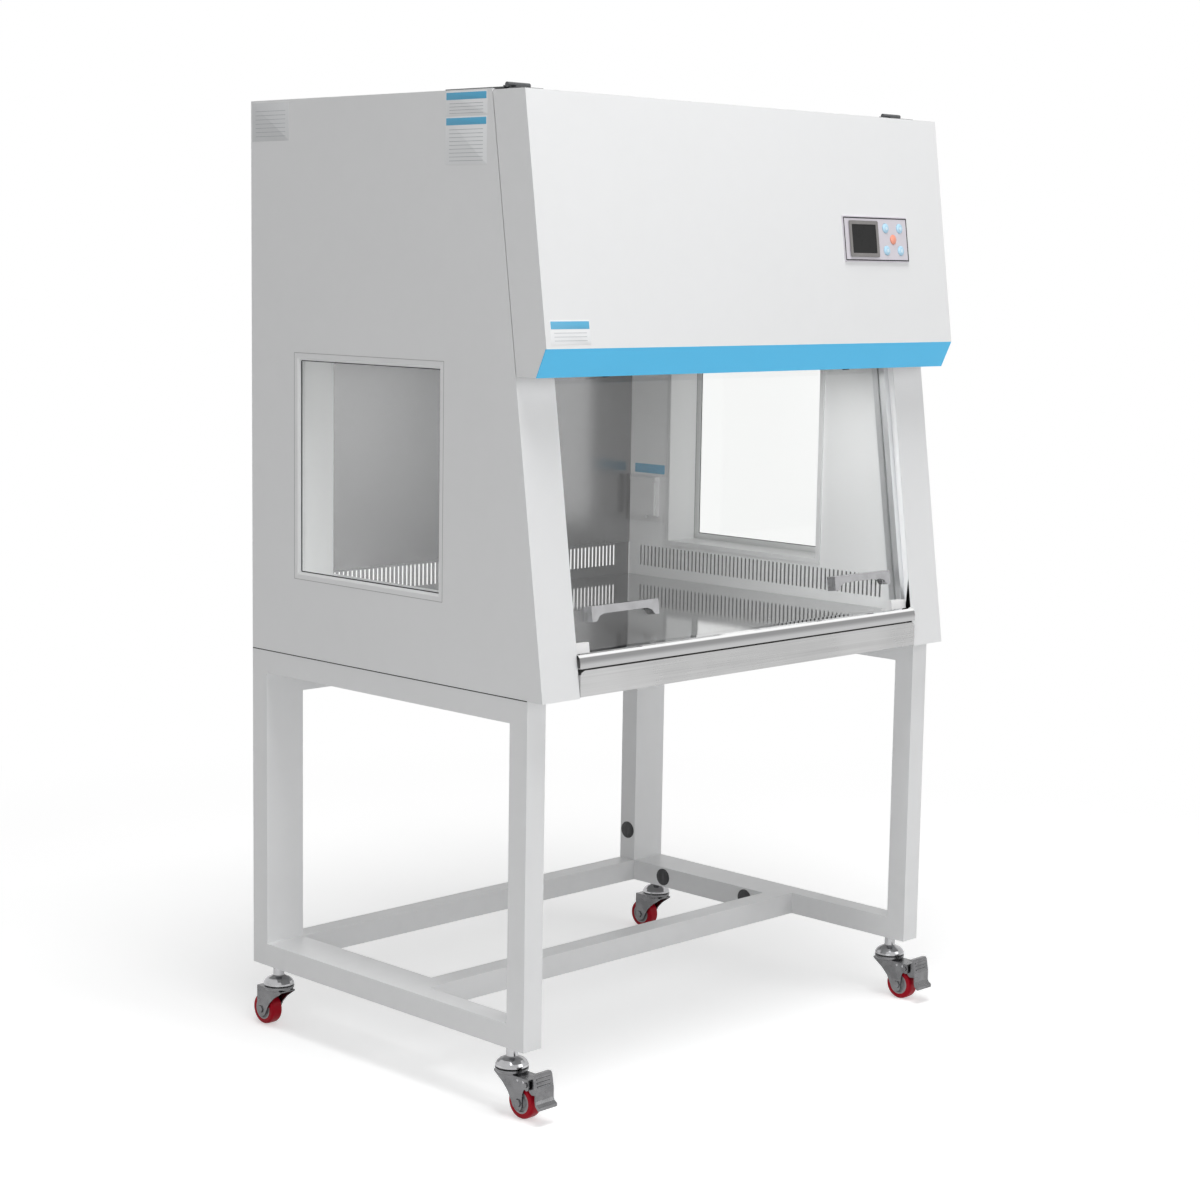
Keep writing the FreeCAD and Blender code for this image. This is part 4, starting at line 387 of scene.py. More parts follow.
@dataclass(frozen=True)
class Moulded(Finish):
    """Moulded plastic or rubber with a fine spark-eroded grain."""

    coat: float = 0.0
    grain: float = 0.18
    scuff: float = 0.05
    shine: float = 0.5

    def surface(self, tree: Tree) -> Wire:
        """Plastic with grain and faint scuffs."""
        grain = tree.noise(tree.place(), 1500.0, 3.0)
        scuff = tree.noise(tree.place((1.0, 3.5, 1.0)), 42.0, 5.0, 0.65).ramp(0.42, 0.80)
        pale = tuple(channel + (1 - channel) * self.scuff for channel in self.color)
        return tree.principled({
            "Base Color": tree.mix(scuff, self.color, pale),
            "Roughness": grain * 0.08 + scuff * 0.12 + self.roughness,
            "Coat Weight": self.coat, "Coat Roughness": 0.08, "Specular IOR Level": self.shine,
            "Normal": tree.bump(grain, self.grain, 0.00008),
        })


@dataclass(frozen=True)
class Glazed(Finish):
    """A clear pane that lets light through to what is behind it, with faint wiped smears."""

    smear: float = 0.03

    def surface(self, tree: Tree) -> Wire:
        """Glass for what is seen, and a clear film for light on its way."""
        wipe = tree.noise(tree.place((3.0, 3.0, 14.0)), 1.6, 4.0, 0.6).ramp(0.50, 0.82)
        glass = tree.principled({
            "Base Color": self.color, "Roughness": wipe * self.smear + self.roughness,
            "Transmission Weight": 1.0, "IOR": 1.46,
        })
        path = tree.add("ShaderNodeLightPath")
        passing = path.also("Is Shadow Ray") | path.also("Is Diffuse Ray")
        film = tree.add("ShaderNodeBsdfTransparent", {}, {"Color": self.color})
        return tree.blend(passing, glass, film)


@dataclass(frozen=True)
class Fibrous(Finish):
    """Filter paper: matt, slightly mottled fibres."""

    def surface(self, tree: Tree) -> Wire:
        """Paper with a fibre relief."""
        fibre = tree.noise(tree.place((1.0, 0.25, 1.0)), 900.0, 5.0, 0.7)
        tone = tree.noise(tree.place(), 22.0, 3.0)
        return tree.principled({
            "Base Color": tree.tones(fibre * 0.6 + tone * 0.4, self.color, 0.86, 1.0),
            "Roughness": fibre * 0.1 + self.roughness,
            "Normal": tree.bump(fibre, 0.5, 0.0003),
        })


WHITE = (0.80, 0.805, 0.81)

FINISHES: dict[str, Finish] = {
    "stand_paint": PowderCoat("stand_powder", WHITE, 0.40, 0.26, 0.16),
    "cabinet_paint": PowderCoat("cabinet_powder", WHITE, 0.38),
    "inner_sheet": PowderCoat("liner_powder", (0.93, 0.935, 0.94), 0.36),
    "stainless": Brushed("brushed_stainless", (0.60, 0.60, 0.605), 0.24),
    "galvanised": Galvanised("galvanised_sheet", (0.56, 0.58, 0.59), 0.32),
    "bright_plating": Plated("bright_chrome", (0.46, 0.46, 0.47), 0.09, 0.10),
    "zinc_plating": Plated("satin_zinc", (0.21, 0.21, 0.215), 0.18, 0.16, 0.08),
    "hub_grey": Moulded("hub_nylon", (0.34, 0.34, 0.35), 0.42),
    "tyre_red": Moulded("tyre_polyurethane", (0.40, 0.002, 0.014), 0.30, 0.0, 0.10, 0.0, 0.14),
    "black_plastic": Moulded("black_nylon", (0.018, 0.018, 0.02), 0.44),
    "black_rubber": Moulded("black_rubber", (0.012, 0.012, 0.013), 0.60, 0.0, 0.3),
    "window_glass": Glazed("window_glass", (0.99, 0.995, 0.99), 0.0),
    "sash_glass": Glazed("sash_glass", (0.985, 0.99, 0.985), 0.0),
    "band_blue": Moulded("blue_lacquer", (0.08, 0.60, 1.0), 0.36, 0.10, 0.08, 0.01),
    "hinge_grey": PowderCoat("hinge_lacquer", (0.055, 0.058, 0.062), 0.42),
    "guide_aluminium": Brushed("drawn_aluminium", (0.74, 0.75, 0.76), 0.30, Grain.UPRIGHT, 0.05, 0.06),
    "white_plastic": Moulded("white_acetal", (0.92, 0.92, 0.92), 0.36),
    "panel_lilac": Moulded("panel_film", (0.66, 0.63, 0.68), 0.40, 0.10, 0.10, 0.02),
    "screen_dark": Moulded("screen_glass", (0.022, 0.022, 0.022), 0.24, 0.0, 0.0, 0.0, 0.12),
    "button_blue": Moulded("key_blue", (0.42, 0.68, 0.86), 0.24, 0.40, 0.04, 0.02),
    "button_orange": Moulded("key_orange", (0.90, 0.33, 0.22), 0.24, 0.30, 0.04, 0.02),
    "filter_white": Fibrous("filter_paper", (0.82, 0.82, 0.81), 0.85),
    "fan_aluminium": Brushed("pressed_aluminium", (0.70, 0.71, 0.72), 0.34, Grain.ACROSS, 0.06),
    "motor_iron": PowderCoat("motor_enamel", (0.10, 0.105, 0.11), 0.45),
    "lamp_white": Moulded("lamp_diffuser", (0.88, 0.89, 0.90), 0.25, 0.30, 0.05, 0.0),
    "socket_plastic": Moulded("socket_shell", (0.86, 0.86, 0.865), 0.36),
    "cover_smoke": Moulded("socket_lid", (0.82, 0.82, 0.825), 0.30, 0.20),
}

TOP_STEEL = Worktop("polished_worktop", (0.48, 0.48, 0.485), 0.06, Grain.ACROSS, 0.04, 0.02)
# painted shade: the rear liner's stainless, coloured darker than the other stainless for the shade at the back of the
# chamber
SHADED_REAR_STEEL = Brushed("shaded_rear_stainless", (0.30, 0.30, 0.305), 0.27, Grain.UPRIGHT, 0.02, 0.02, 0.02)
# the rear grille's steel is a darkened stainless: painted shade for the back of the chamber
STRIPS = Lining("slotted_strips", (0.93, 0.935, 0.94), 0.32, (0.25, 0.25, 0.255))
APRON_STEEL = Brushed("apron_stainless", (0.50, 0.50, 0.50), 0.22, Grain.ACROSS, 0.14, 0.16)
# side panels: powder paint, with painted shade on the skin behind the slots
SIDE_PAINT = Cased("side_powder", WHITE, 0.38)
# black gasket rubber, also used for the painted shade line in the joint on the stand
BLACK_GASKET_AND_SHADE = Moulded("black_gasket_and_shade", (0.035, 0.035, 0.037), 0.60, 0.0, 0.1, 0.0, 0.15)
GASKET_PALE = Moulded("gasket_pale", (0.42, 0.42, 0.425), 0.50)
SCREW_ZINC = Plated("screw_zinc", (0.66, 0.66, 0.66), 0.22, 0.08)
VINYL = Moulded("plain_vinyl", (0.84, 0.85, 0.86), 0.38, 0.10, 0.05, 0.0)
VINYL_GREY = Moulded("grey_vinyl", (0.70, 0.71, 0.72), 0.40, 0.10, 0.05, 0.02)
VINYL_BLUE = Moulded("blue_vinyl", (0.09, 0.42, 0.66), 0.36, 0.10, 0.05, 0.0)
RULE_INK = Moulded("rule_ink", (0.42, 0.44, 0.46), 0.50, 0.0, 0.05, 0.0)
# pale disc on the blue keys: partly their print, partly a painted highlight
KEY_PRINT_AND_HIGHLIGHT = Moulded("key_print_and_highlight", (0.66, 0.82, 0.92), 0.34, 0.10, 0.0, 0.0)


# Mesh helpers

def rounded(width: float, height: float, radius: float, steps: int = 4) -> list[tuple[float, float]]:
    """Points round a rectangle with round corners, centred on the origin.

    Args:
        width: Size across.
        height: Size upwards.
        radius: Corner radius.
        steps: Parts of each corner.

    Returns:
        The points, anticlockwise, always as many for the same steps.
    """
    points = []
    for corner, (sign_x, sign_y) in enumerate(((1, 1), (-1, 1), (-1, -1), (1, -1))):
        for step in range(steps + 1):
            angle = (corner + step / steps) * math.pi / 2
            points.append((sign_x * (width / 2 - radius) + radius * math.cos(angle),
                           sign_y * (height / 2 - radius) + radius * math.sin(angle)))
    return points


def circle(radius: float, count: int = 24) -> list[tuple[float, float]]:
    """Points round a circle."""
    return [(radius * math.cos(2 * math.pi * i / count), radius * math.sin(2 * math.pi * i / count))
            for i in range(count)]


def cross(length: float, width: float, count: int = 24) -> list[tuple[float, float]]:
    """Points round a cross slot with arms of this half length and half width."""
    points = []
    for i in range(count):
        angle = 2 * math.pi * i / count
        turn = abs((angle + math.pi / 4) % (math.pi / 2) - math.pi / 4)
        reach = min(length / math.cos(turn), width / max(math.sin(turn), 1e-6))
        points.append((reach * math.cos(angle), reach * math.sin(angle)))
    return points


def loft(rings: Sequence[tuple[Sequence[tuple[float, float]], float]], closed: bool = False) -> bmesh.types.BMesh:
    """Joins outlines at rising heights into a solid.

    Args:
        rings: Outlines with as many points each, and the height of each.
        closed: True joins the last to the first, as in a picture frame; False caps both ends.

    Returns:
        The mesh.
    """
    made = bmesh.new()
    rows = [[made.verts.new((x, y, z)) for x, y in outline] for outline, z in rings]
    pairs = list(zip(rows, rows[1:])) + ([(rows[-1], rows[0])] if closed else [])
    for low, high in pairs:
        for i in range(len(low)):
            k = (i + 1) % len(low)
            made.faces.new((low[i], low[k], high[k], high[i]))
    if not closed:
        made.faces.new(rows[0])
        made.faces.new(rows[-1])
    bmesh.ops.recalc_face_normals(made, faces=made.faces)
    return made


def plate(width: float, height: float, thickness: float, radius: float) -> bmesh.types.BMesh:
    """A flat plate with round corners and a softened upper edge."""
    soft = min(thickness * 0.4, radius * 0.5)
    return loft([(rounded(width, height, radius), 0.0),
                 (rounded(width, height, radius), thickness - soft),
                 (rounded(width - 0.6 * soft, height - 0.6 * soft, radius), thickness - 0.3 * soft),
                 (rounded(width - 2 * soft, height - 2 * soft, radius), thickness)])


def border(outer: tuple[float, float], width: float, thickness: float, radius: float) -> bmesh.types.BMesh:
    """A frame of this outer size and bar width, with a softened top."""
    inner = (outer[0] - 2 * width, outer[1] - 2 * width)
    soft = min(width, thickness) * 0.3
    tight = max(radius - width, radius * 0.3)
    return loft([(rounded(*outer, radius), 0.0),
                 (rounded(*outer, radius), thickness - soft),
                 (rounded(outer[0] - 2 * soft, outer[1] - 2 * soft, radius), thickness),
                 (rounded(inner[0] + 2 * soft, inner[1] + 2 * soft, tight), thickness),
                 (rounded(*inner, tight), thickness - soft),
                 (rounded(*inner, tight), 0.0)], closed=True)


def screw_head(radius: float, height: float) -> bmesh.types.BMesh:
    """A low pan head with a cross slot."""
    return loft([(circle(radius), 0.0), (circle(radius), height * 0.25), (circle(radius * 0.94), height * 0.6),
                 (circle(radius * 0.78), height * 0.88), (circle(radius * 0.62), height),
                 (cross(radius * 0.52, radius * 0.12), height), (cross(radius * 0.40, radius * 0.10), height * 0.4)])


def rivet_head(radius: float, height: float) -> bmesh.types.BMesh:
    """A domed rivet head with its mandrel's dimple."""
    return loft([(circle(radius, 20), 0.0), (circle(radius * 0.96, 20), height * 0.4),
                 (circle(radius * 0.74, 20), height * 0.82), (circle(radius * 0.34, 20), height),
                 (circle(radius * 0.30, 20), height * 0.75)])


def seat(place: Point | Vector, across: Point | Vector, out: Point | Vector) -> Matrix:
    """The matrix that sets a local piece on a face.

    Args:
        place: Where its origin goes.
        across: The direction of its local X.
        out: The direction that the face looks, its local Z.

    Returns:
        The matrix.
    """
    z = Vector(out).normalized()
    x = (Vector(across) - Vector(across).dot(z) * z).normalized()
    turn = Matrix((x, z.cross(x), z)).transposed().to_4x4()
    return Matrix.Translation(Vector(place)) @ turn


def between(low: Vector, high: Vector) -> Vector:
    """The middle of a box."""
    return (low + high) / 2


def baked(name: str, made: bmesh.types.BMesh) -> bpy.types.Mesh:
    """Turns a mesh under construction into a plain one, and frees it."""
    mesh = bpy.data.meshes.new(name)
    made.to_mesh(mesh)
    made.free()
    return mesh


def finished(name: str, made: bmesh.types.BMesh, finish: Finish, body: str,
             places: Sequence[Matrix] = (Matrix.Identity(4),)) -> bpy.types.Object:
    """Turns a mesh into a piece that rides on a body.

    Args:
        name: The piece's name.
        made: Its mesh in local coordinates. It is freed.
        finish: What covers it.
        body: The body that carries it.
        places: Where its copies go.

    Returns:
        The object.
    """
    local = baked(name + "_local", made)
    whole = bmesh.new()
    for place in places:
        before = len(whole.verts)
        whole.from_mesh(local)
        whole.verts.ensure_lookup_table()
        bmesh.ops.transform(whole, matrix=place, verts=whole.verts[before:])
    mesh = baked(name, whole)
    bpy.data.meshes.remove(local)
    mesh.materials.append(finish.material())
    return mounted(bpy.data.objects.new(name, mesh), body)


def mounted(piece: bpy.types.Object, body: str) -> bpy.types.Object:
    """Links a piece, smooths it between its sharp edges and sets it on its body."""
    if not piece.users_collection:
        bpy.context.scene.collection.objects.link(piece)
    for polygon in piece.data.polygons:
        polygon.use_smooth = True
    piece.data.set_sharp_from_angle(angle=math.radians(32))
    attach(piece, body)
    log.info("piece %s: %d faces on %s", piece.name, len(piece.data.polygons), body)
    return piece


_trees: dict[str, BVHTree] = {}


def touch(node: str, start: Point | Vector, towards: Point | Vector) -> Vector:
    """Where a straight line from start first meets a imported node.

    Args:
        node: The node's name.
        start: A point outside it.
        towards: The line's direction.

    Returns:
        The point on its surface.
    """
    if node not in _trees:
        mesh = frame["nodes"][node].data
        _trees[node] = BVHTree.FromPolygons([v.co for v in mesh.vertices], [p.vertices for p in mesh.polygons])
    found = _trees[node].ray_cast(Vector(start), Vector(towards).normalized())[0]
    if found is None:
        raise ValueError(f"no surface of {node} from {tuple(start)}")
    return found


# Patterns for what repeats

class Pattern:
    """A Geometry Nodes tree that copies an item, with a finish on it and with further named inputs."""

    def __init__(self, name: str, inputs: dict[str, str]) -> None:
        """Makes the group with its further inputs: their names and socket types."""
        self.group = bpy.data.node_groups.new(name, "GeometryNodeTree")
        self.group.interface.new_socket("Geometry", in_out="OUTPUT", socket_type="NodeSocketGeometry")
        self.group.interface.new_socket("Geometry", in_out="INPUT", socket_type="NodeSocketGeometry")
        for label, kind in {"Item": "NodeSocketObject", "Finish": "NodeSocketMaterial", **inputs}.items():
            self.group.interface.new_socket(label, in_out="INPUT", socket_type=kind)
        self.tree = Tree(self.group)
        self.source = self.tree.add("NodeGroupInput")

    def take(self, label: str) -> Wire:
        """The wire of a named input."""
        return self.source.also(label)

    def finish(self, points: dict[str | int, Wire]) -> None:
        """Ends the tree: the item on each point, as real meshes with the finish on them."""
        item = self.tree.add("GeometryNodeObjectInfo", {}, {"Object": self.take("Item")}, "Geometry")
        placed = self.tree.add("GeometryNodeInstanceOnPoints", {}, {"Instance": item, **points})
        real = self.tree.add("GeometryNodeRealizeInstances", {}, {"Geometry": placed})
        coated = self.tree.add("GeometryNodeSetMaterial", {}, {"Geometry": real, "Material": self.take("Finish")})
        self.tree.add("NodeGroupOutput", {}, {"Geometry": coated})

    def grow(self, name: str, item: bmesh.types.BMesh, base: bpy.types.Mesh, finish: Finish,
             values: dict[str, object]) -> bpy.types.Object:
        """Runs the tree once and keeps the result as a plain mesh.

        Args:
            name: The new piece's name.
            item: The mesh that is copied. It is freed.
            base: The mesh that the tree starts from.
            finish: What covers the copies.
            values: What the further inputs are set to.

        Returns:
            The piece, with no modifier on it.
        """
        source = bpy.data.objects.new(name + "_item", baked(name + "_item", item))
        values = {"Item": source, "Finish": finish.material(), **values}
        carrier = bpy.data.objects.new(name + "_carrier", base)
        modifier = carrier.modifiers.new("pattern", "NODES")
        modifier.node_group = self.group
        for entry in self.group.interface.items_tree:
            if entry.item_type == "SOCKET" and entry.in_out == "INPUT" and entry.name in values:
                modifier[entry.identifier] = values[entry.name]
        bpy.context.scene.collection.objects.link(carrier)
        bpy.context.view_layer.update()
        graph = bpy.context.evaluated_depsgraph_get()
        result = bpy.data.meshes.new_from_object(carrier.evaluated_get(graph))
        carrier.modifiers.remove(modifier)
        bpy.data.objects.remove(carrier)
        bpy.data.objects.remove(source)
        result.name = name
        return bpy.data.objects.new(name, result)


def fastener_pattern() -> Pattern:
    """Heads that stand on points and look along each point's facing, each turned by chance."""
    pattern = Pattern("fasteners_on_points", {"Seed": "NodeSocketInt"})
    tree = pattern.tree
    facing = tree.add("GeometryNodeInputNamedAttribute", {"data_type": "FLOAT_VECTOR"}, {"Name": "facing"},
                      "Attribute")
    upright = tree.add("FunctionNodeAlignRotationToVector", {"axis": "Z"}, {"Vector": facing})
    chance = tree.add("FunctionNodeRandomValue", {"data_type": "FLOAT"},
                      {"Min": 0.0, "Max": math.tau, "Seed": pattern.take("Seed")})
    spin = tree.add("FunctionNodeAxisAngleToRotation", {}, {"Axis": (0.0, 0.0, 1.0), "Angle": chance})
    turned = tree.add("FunctionNodeRotateRotation", {"rotation_space": "LOCAL"},
                      {"Rotation": upright, "Rotate By": spin})
    pattern.finish({"Points": pattern.take("Geometry"), "Rotation": turned})
    return pattern


def row_pattern() -> Pattern:
    """Bars in a straight row at an even step."""
    pattern = Pattern("bars_in_a_row", {
        "Count": "NodeSocketInt", "Start": "NodeSocketVector", "Step": "NodeSocketVector"})
    line = pattern.tree.add("GeometryNodeMeshLine", {"mode": "OFFSET"}, {
        "Count": pattern.take("Count"), "Start Location": pattern.take("Start"), "Offset": pattern.take("Step")})
    pattern.finish({"Points": line})
    return pattern


FASTENERS = fastener_pattern()
ROW = row_pattern()


def fasten(name: str, head: bmesh.types.BMesh, spots: Sequence[tuple[Vector, Point | Vector]], finish: Finish,
           body: str, seed: int = 1) -> bpy.types.Object:
    """Sets heads on surfaces.

    Args:
        name: The piece's name.
        head: One head, standing on its local XY plane.
        spots: Each head's place and the way it looks.
        finish: What covers the heads.
        body: The body that carries them.
        seed: Fixes how each head is turned.

    Returns:
        The piece.
    """
    base = bpy.data.meshes.new(name + "_spots")
    base.from_pydata([tuple(place) for place, _ in spots], [], [])
    facing = base.attributes.new("facing", "FLOAT_VECTOR", "POINT")
    for item, (_, out) in zip(facing.data, spots):
        item.vector = tuple(out)
    return mounted(FASTENERS.grow(name, head, base, finish, {"Seed": seed}), body)


def bars(name: str, bar: bmesh.types.BMesh, place: Matrix, count: int, start: Point, step: Point, finish: Finish,
         body: str) -> bpy.types.Object:
    """Sets a row of bars on a face.

    Args:
        name: The piece's name.
        bar: One bar in the face's local coordinates.
        place: The face.
        count: How many bars.
        start: The first bar's place on the face.
        step: From one bar to the next.
        finish: What covers them.
        body: The body that carries them.

    Returns:
        The piece.
    """
    piece = ROW.grow(name, bar, bpy.data.meshes.new(name + "_start"), finish,
                     {"Count": count, "Start": start, "Step": step})
    piece.data.transform(place)
    return mounted(piece, body)


def spaced(low: float, high: float, pitch: float) -> list[float]:
    """Even places from low to high, about a pitch apart."""
    count = max(1, round((high - low) / pitch))
    return [low + (high - low) * i / count for i in range(count + 1)]


# Sub-assemblies

@dataclass
class Assembly:
    """What every sub-assembly does: it builds its pieces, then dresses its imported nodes.

    Attributes:
        nodes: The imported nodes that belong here.
        special: Nodes whose finish isn't their slot's own.
    """

    nodes: ClassVar[Sequence[str]] = ()
    special: ClassVar[dict[str, Finish]] = {}

    def build(self) -> None:
        """Makes the pieces, where there are any."""

    def dress(self) -> None:
        """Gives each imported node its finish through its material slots."""
        slots = {part["node"]: part["material_slot"] for part in frame["record"]["subparts"]}
        for name in self.nodes:
            finish = self.special.get(name, FINISHES[slots[name]])
            for slot in frame["nodes"][name].material_slots:
                slot.material = finish.material()
            log.info("node %s: %s", name, finish.name)


@dataclass
class Sticker:
    """A plain plate or film with optional header stripes and blank rules."""

    name: str
    width: float
    height: float
    finish: Finish
    stripes: Sequence[tuple[float, float]] = ()
    rules: tuple[int, float, float] = (0, 0.0, 0.0)
    thickness: float = 0.25 * MM
    radius: float = 1.5 * MM
    stripe_film: tuple[float, float] = (0.08 * MM, 0.5 * MM)
    rule_share: float = 0.82
    rule_bar: tuple[float, float, float] = (0.7 * MM, 0.06 * MM, 0.3 * MM)

    def build(self, place: Matrix, body: str, slot: str) -> None:
        """Makes the film, its stripes and its rules.

        Args:
            place: The film's centre on its face, X across and Y up.
            body: The body that carries it.
            slot: Not used.
        """
        finished(self.name, plate(self.width, self.height, self.thickness, self.radius), self.finish, body,
                 [place])
        for i, (top, depth) in enumerate(self.stripes):
            middle = Matrix.Translation((0.0, self.height / 2 - top - depth / 2, self.thickness))
            finished(f"{self.name}_stripe_{i + 1}",
                     plate(self.width - 2 * self.radius, depth, *self.stripe_film), VINYL_BLUE, body,
                     [place @ middle])
        count, first, pitch = self.rules
        if count:
            bars(self.name + "_rules", plate(self.width * self.rule_share, *self.rule_bar), place, count,
                 (0.0, self.height / 2 - first, self.thickness), (0.0, -pitch, 0.0), RULE_INK, body)


# The rating plate and service cards of the left side, each with its distance from the rear and the top edge
CARDS = (
    (Sticker("rating_plate", 0.100, 0.064, VINYL_GREY, (), (7, 0.014, 0.007)), 0.054, 0.036),
    (Sticker("service_card_upper", 0.096, 0.037, VINYL, ((0.002, 0.011),), (4, 0.019, 0.005)), 0.5495, 0.0205),
    (Sticker("service_card_lower", 0.096, 0.074, VINYL, ((0.002, 0.011),), (9, 0.020, 0.006)), 0.5495, 0.078),
)


def both_sides(low: Vector, high: Vector, middle: Sequence[float]) -> list[Matrix]:
    """Seats that look outwards on the left and right faces of a box, at this Y and Z."""
    return [seat((x, *middle), (0, way, 0), (way, 0, 0)) for x, way in ((low.x, -1), (high.x, 1))]


@dataclass
class Stand(Assembly):
    """Tube stand with its plugs and bolts."""

    nodes = ("stand_left_frame", "stand_right_frame", "stand_rear_frame", "stand_base_frame", "tube_plugs",
             "frame_bolts")
    tube: float = 40 * MM
    bead: float = 2.2 * MM

    def build(self) -> None:
        """Lays a small painted weld bead into the inner corners of both side frames."""
        length = self.tube * 0.8
        outline = [(self.bead * 0.4, -length / 2), (self.bead, -length * 0.45), (self.bead, length * 0.45),
                   (self.bead * 0.4, length / 2)]
        for side in ("left", "right"):
            low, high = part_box(f"stand_{side}_frame")
            spots = [Matrix.Translation((between(low, high).x, y, z)) @ Matrix.Rotation(math.pi / 2, 4, "Y")
                     for z in (low.z + self.tube, high.z - self.tube)
                     for y in (low.y + self.tube, high.y - self.tube)]
            finished(f"stand_{side}_welds", loft([(circle(radius, 12), z) for radius, z in outline]),
                     FINISHES["stand_paint"], "cabinet", spots)


@dataclass
class Castors(Assembly):
    """Four swivel castors."""

    nodes = ("caster_stems", "caster_front_left_brake_pedal", "caster_front_right_brake_pedal",
             *(f"caster_{end}_{side}_{part}" for end in ("front", "rear") for side in ("left", "right")
               for part in ("fork", "hub", "tyre")))
    rivet: float = 2.4 * MM
    rise: float = 1.1 * MM
    insets: tuple[float, float] = (13 * MM, 26 * MM)
    height: float = 65.5 * MM
    reach: float = 20 * MM

    def build(self) -> None:
        """Sets the rivets of the brake's spring plate on both cheeks of each braked fork."""
        for side in ("left", "right"):
            fork = f"caster_front_{side}_fork"
            low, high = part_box(fork)
            spots = [(touch(fork, (start, low.y + inset, self.height), (way, 0, 0)), (-way, 0, 0))
                     for way, start in ((1, low.x - self.reach), (-1, high.x + self.reach)) for inset in self.insets]
            fasten(f"caster_front_{side}_rivets", rivet_head(self.rivet, self.rise), spots,
                   FINISHES["bright_plating"], f"swivel_front_{side}")


@dataclass
class Shell(Assembly):
    """Outer panels with their screws and plain plates."""

    nodes = ("left_side_panel", "right_side_panel", "rear_panel", "top_panel", "base_pan")
    special = dict.fromkeys(("left_side_panel", "right_side_panel"), SIDE_PAINT)
    screw: float = 3.4 * MM
    rise: float = 1.8 * MM
    pitch: float = 0.155
    inset: float = 11 * MM
    # height and thickness of the dark strip of painted shade in the joint
    shade_line: float = 1.6 * MM
    shade_line_film: float = 0.3 * MM

    def build(self) -> None:
        """Adds screws to the rear and top sheets, a dark strip of painted shade in the joint on the stand, and plain
        plates to the left side.
        """
        self.screws("rear_panel", "rear_panel_screws", 1, 11)
        self.screws("top_panel", "top_panel_screws", 2, 12)
        self.shade_lines()
        low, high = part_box("left_side_panel")
        for card, back, down in CARDS:
            card.build(seat((low.x, high.y - back, high.z - down), (0, -1, 0), (-1, 0, 0)), "cabinet",
                       "cabinet_paint")

    def shade_lines(self) -> None:
        """A dark strip of painted shade in the joint between each side and the stand's top rail."""
        low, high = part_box("left_side_panel")[0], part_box("right_side_panel")[1]
        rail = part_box("stand_left_frame")
        length = rail[1].y - rail[0].y - 2 * MM
        finished("stand_seals", plate(length, self.shade_line, self.shade_line_film, self.shade_line_film), BLACK_GASKET_AND_SHADE, "cabinet",
                 both_sides(low, high, (between(*rail).y, rail[1].z)))

    def screws(self, node: str, name: str, axis: int, seed: int) -> None:
        """Rings a sheet with screws.

        Args:
            node: The sheet.
            name: The piece's name.
            axis: 1 for a sheet that looks along +Y, 2 for one that looks up.
            seed: Fixes how the heads are turned.
        """
        low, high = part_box(node)
        other = 3 - axis
        across = spaced(low.x + self.inset, high.x - self.inset, self.pitch)
        along = spaced(low[other] + self.inset, high[other] - self.inset, self.pitch)
        edge = [(x, v) for x in across for v in (along[0], along[-1])]
        edge += [(x, v) for x in (across[0], across[-1]) for v in along[1:-1]]
        out = Vector((0, 1, 0)) if axis == 1 else Vector((0, 0, 1))
        spots = []
        for x, v in edge:
            start = Vector((x, 0.0, 0.0))
            start[other] = v
            start[axis] = high[axis] + 0.05
            spots.append((touch(node, start, -out), out))
        fasten(name, screw_head(self.screw, self.rise), spots, SCREW_ZINC, "cabinet", seed)


@dataclass
class Chamber(Assembly):
    """Work chamber: liners, grilles, worktop, lamps and socket."""

    nodes = ("left_liner", "right_liner", "rear_liner", "return_grilles", "work_surface", "front_apron", "led_lamp",
             "uv_lamp", "socket_box", "socket_cover")
    special = {"work_surface": TOP_STEEL, "rear_liner": SHADED_REAR_STEEL, "front_apron": APRON_STEEL,
               "return_grilles": STRIPS}
    tag: tuple[float, float] = (81 * MM, 18 * MM)
    gap: float = 4 * MM

    def build(self) -> None:
        """Adds the blank blue tag over the socket."""
        low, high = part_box("socket_box")
        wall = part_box("right_liner")[0].x
        height = high.z + self.gap + self.tag[1] / 2
        place = seat((wall, between(low, high).y, height), (0, -1, 0), (-1, 0, 0))
        Sticker("socket_tag", *self.tag, VINYL_BLUE).build(place, "cabinet", "band_blue")


@dataclass
class Windows(Assembly):
    """Side windows with their gaskets."""

    nodes = ("window_frames", "window_panes")
    pane_inset: float = 12 * MM
    pane_bar: tuple[float, float, float] = (1.6 * MM, 1.2 * MM, 2.5 * MM)
    bezel_inset: float = 7.2 * MM
    bezel_bar: tuple[float, float, float] = (1.0 * MM, 0.3 * MM, 0.8 * MM)

    def build(self) -> None:
        """Presses a thin gasket round both panes and another round both bezels, on the outside."""
        self.ring("window_gaskets", "window_panes", self.pane_inset, self.pane_bar, BLACK_GASKET_AND_SHADE)
        self.ring("bezel_gaskets", "window_frames", self.bezel_inset, self.bezel_bar, GASKET_PALE)

    def ring(self, name: str, node: str, inset: float, bar: tuple[float, float, float], finish: Finish) -> None:
        """Lays a ring on the outer faces of a node.

        Args:
            name: The piece's name.
            node: The node that it lies on.
            inset: How far inside the node's edge it runs.
            bar: Its width, thickness and corner radius.
            finish: What covers it.
        """
        low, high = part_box(node)
        middle = between(*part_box("window_panes"))
        size = (high.y - low.y - 2 * inset, high.z - low.z - 2 * inset)
        finished(name, border(size, *bar), finish, "cabinet", both_sides(low, high, middle.yz))


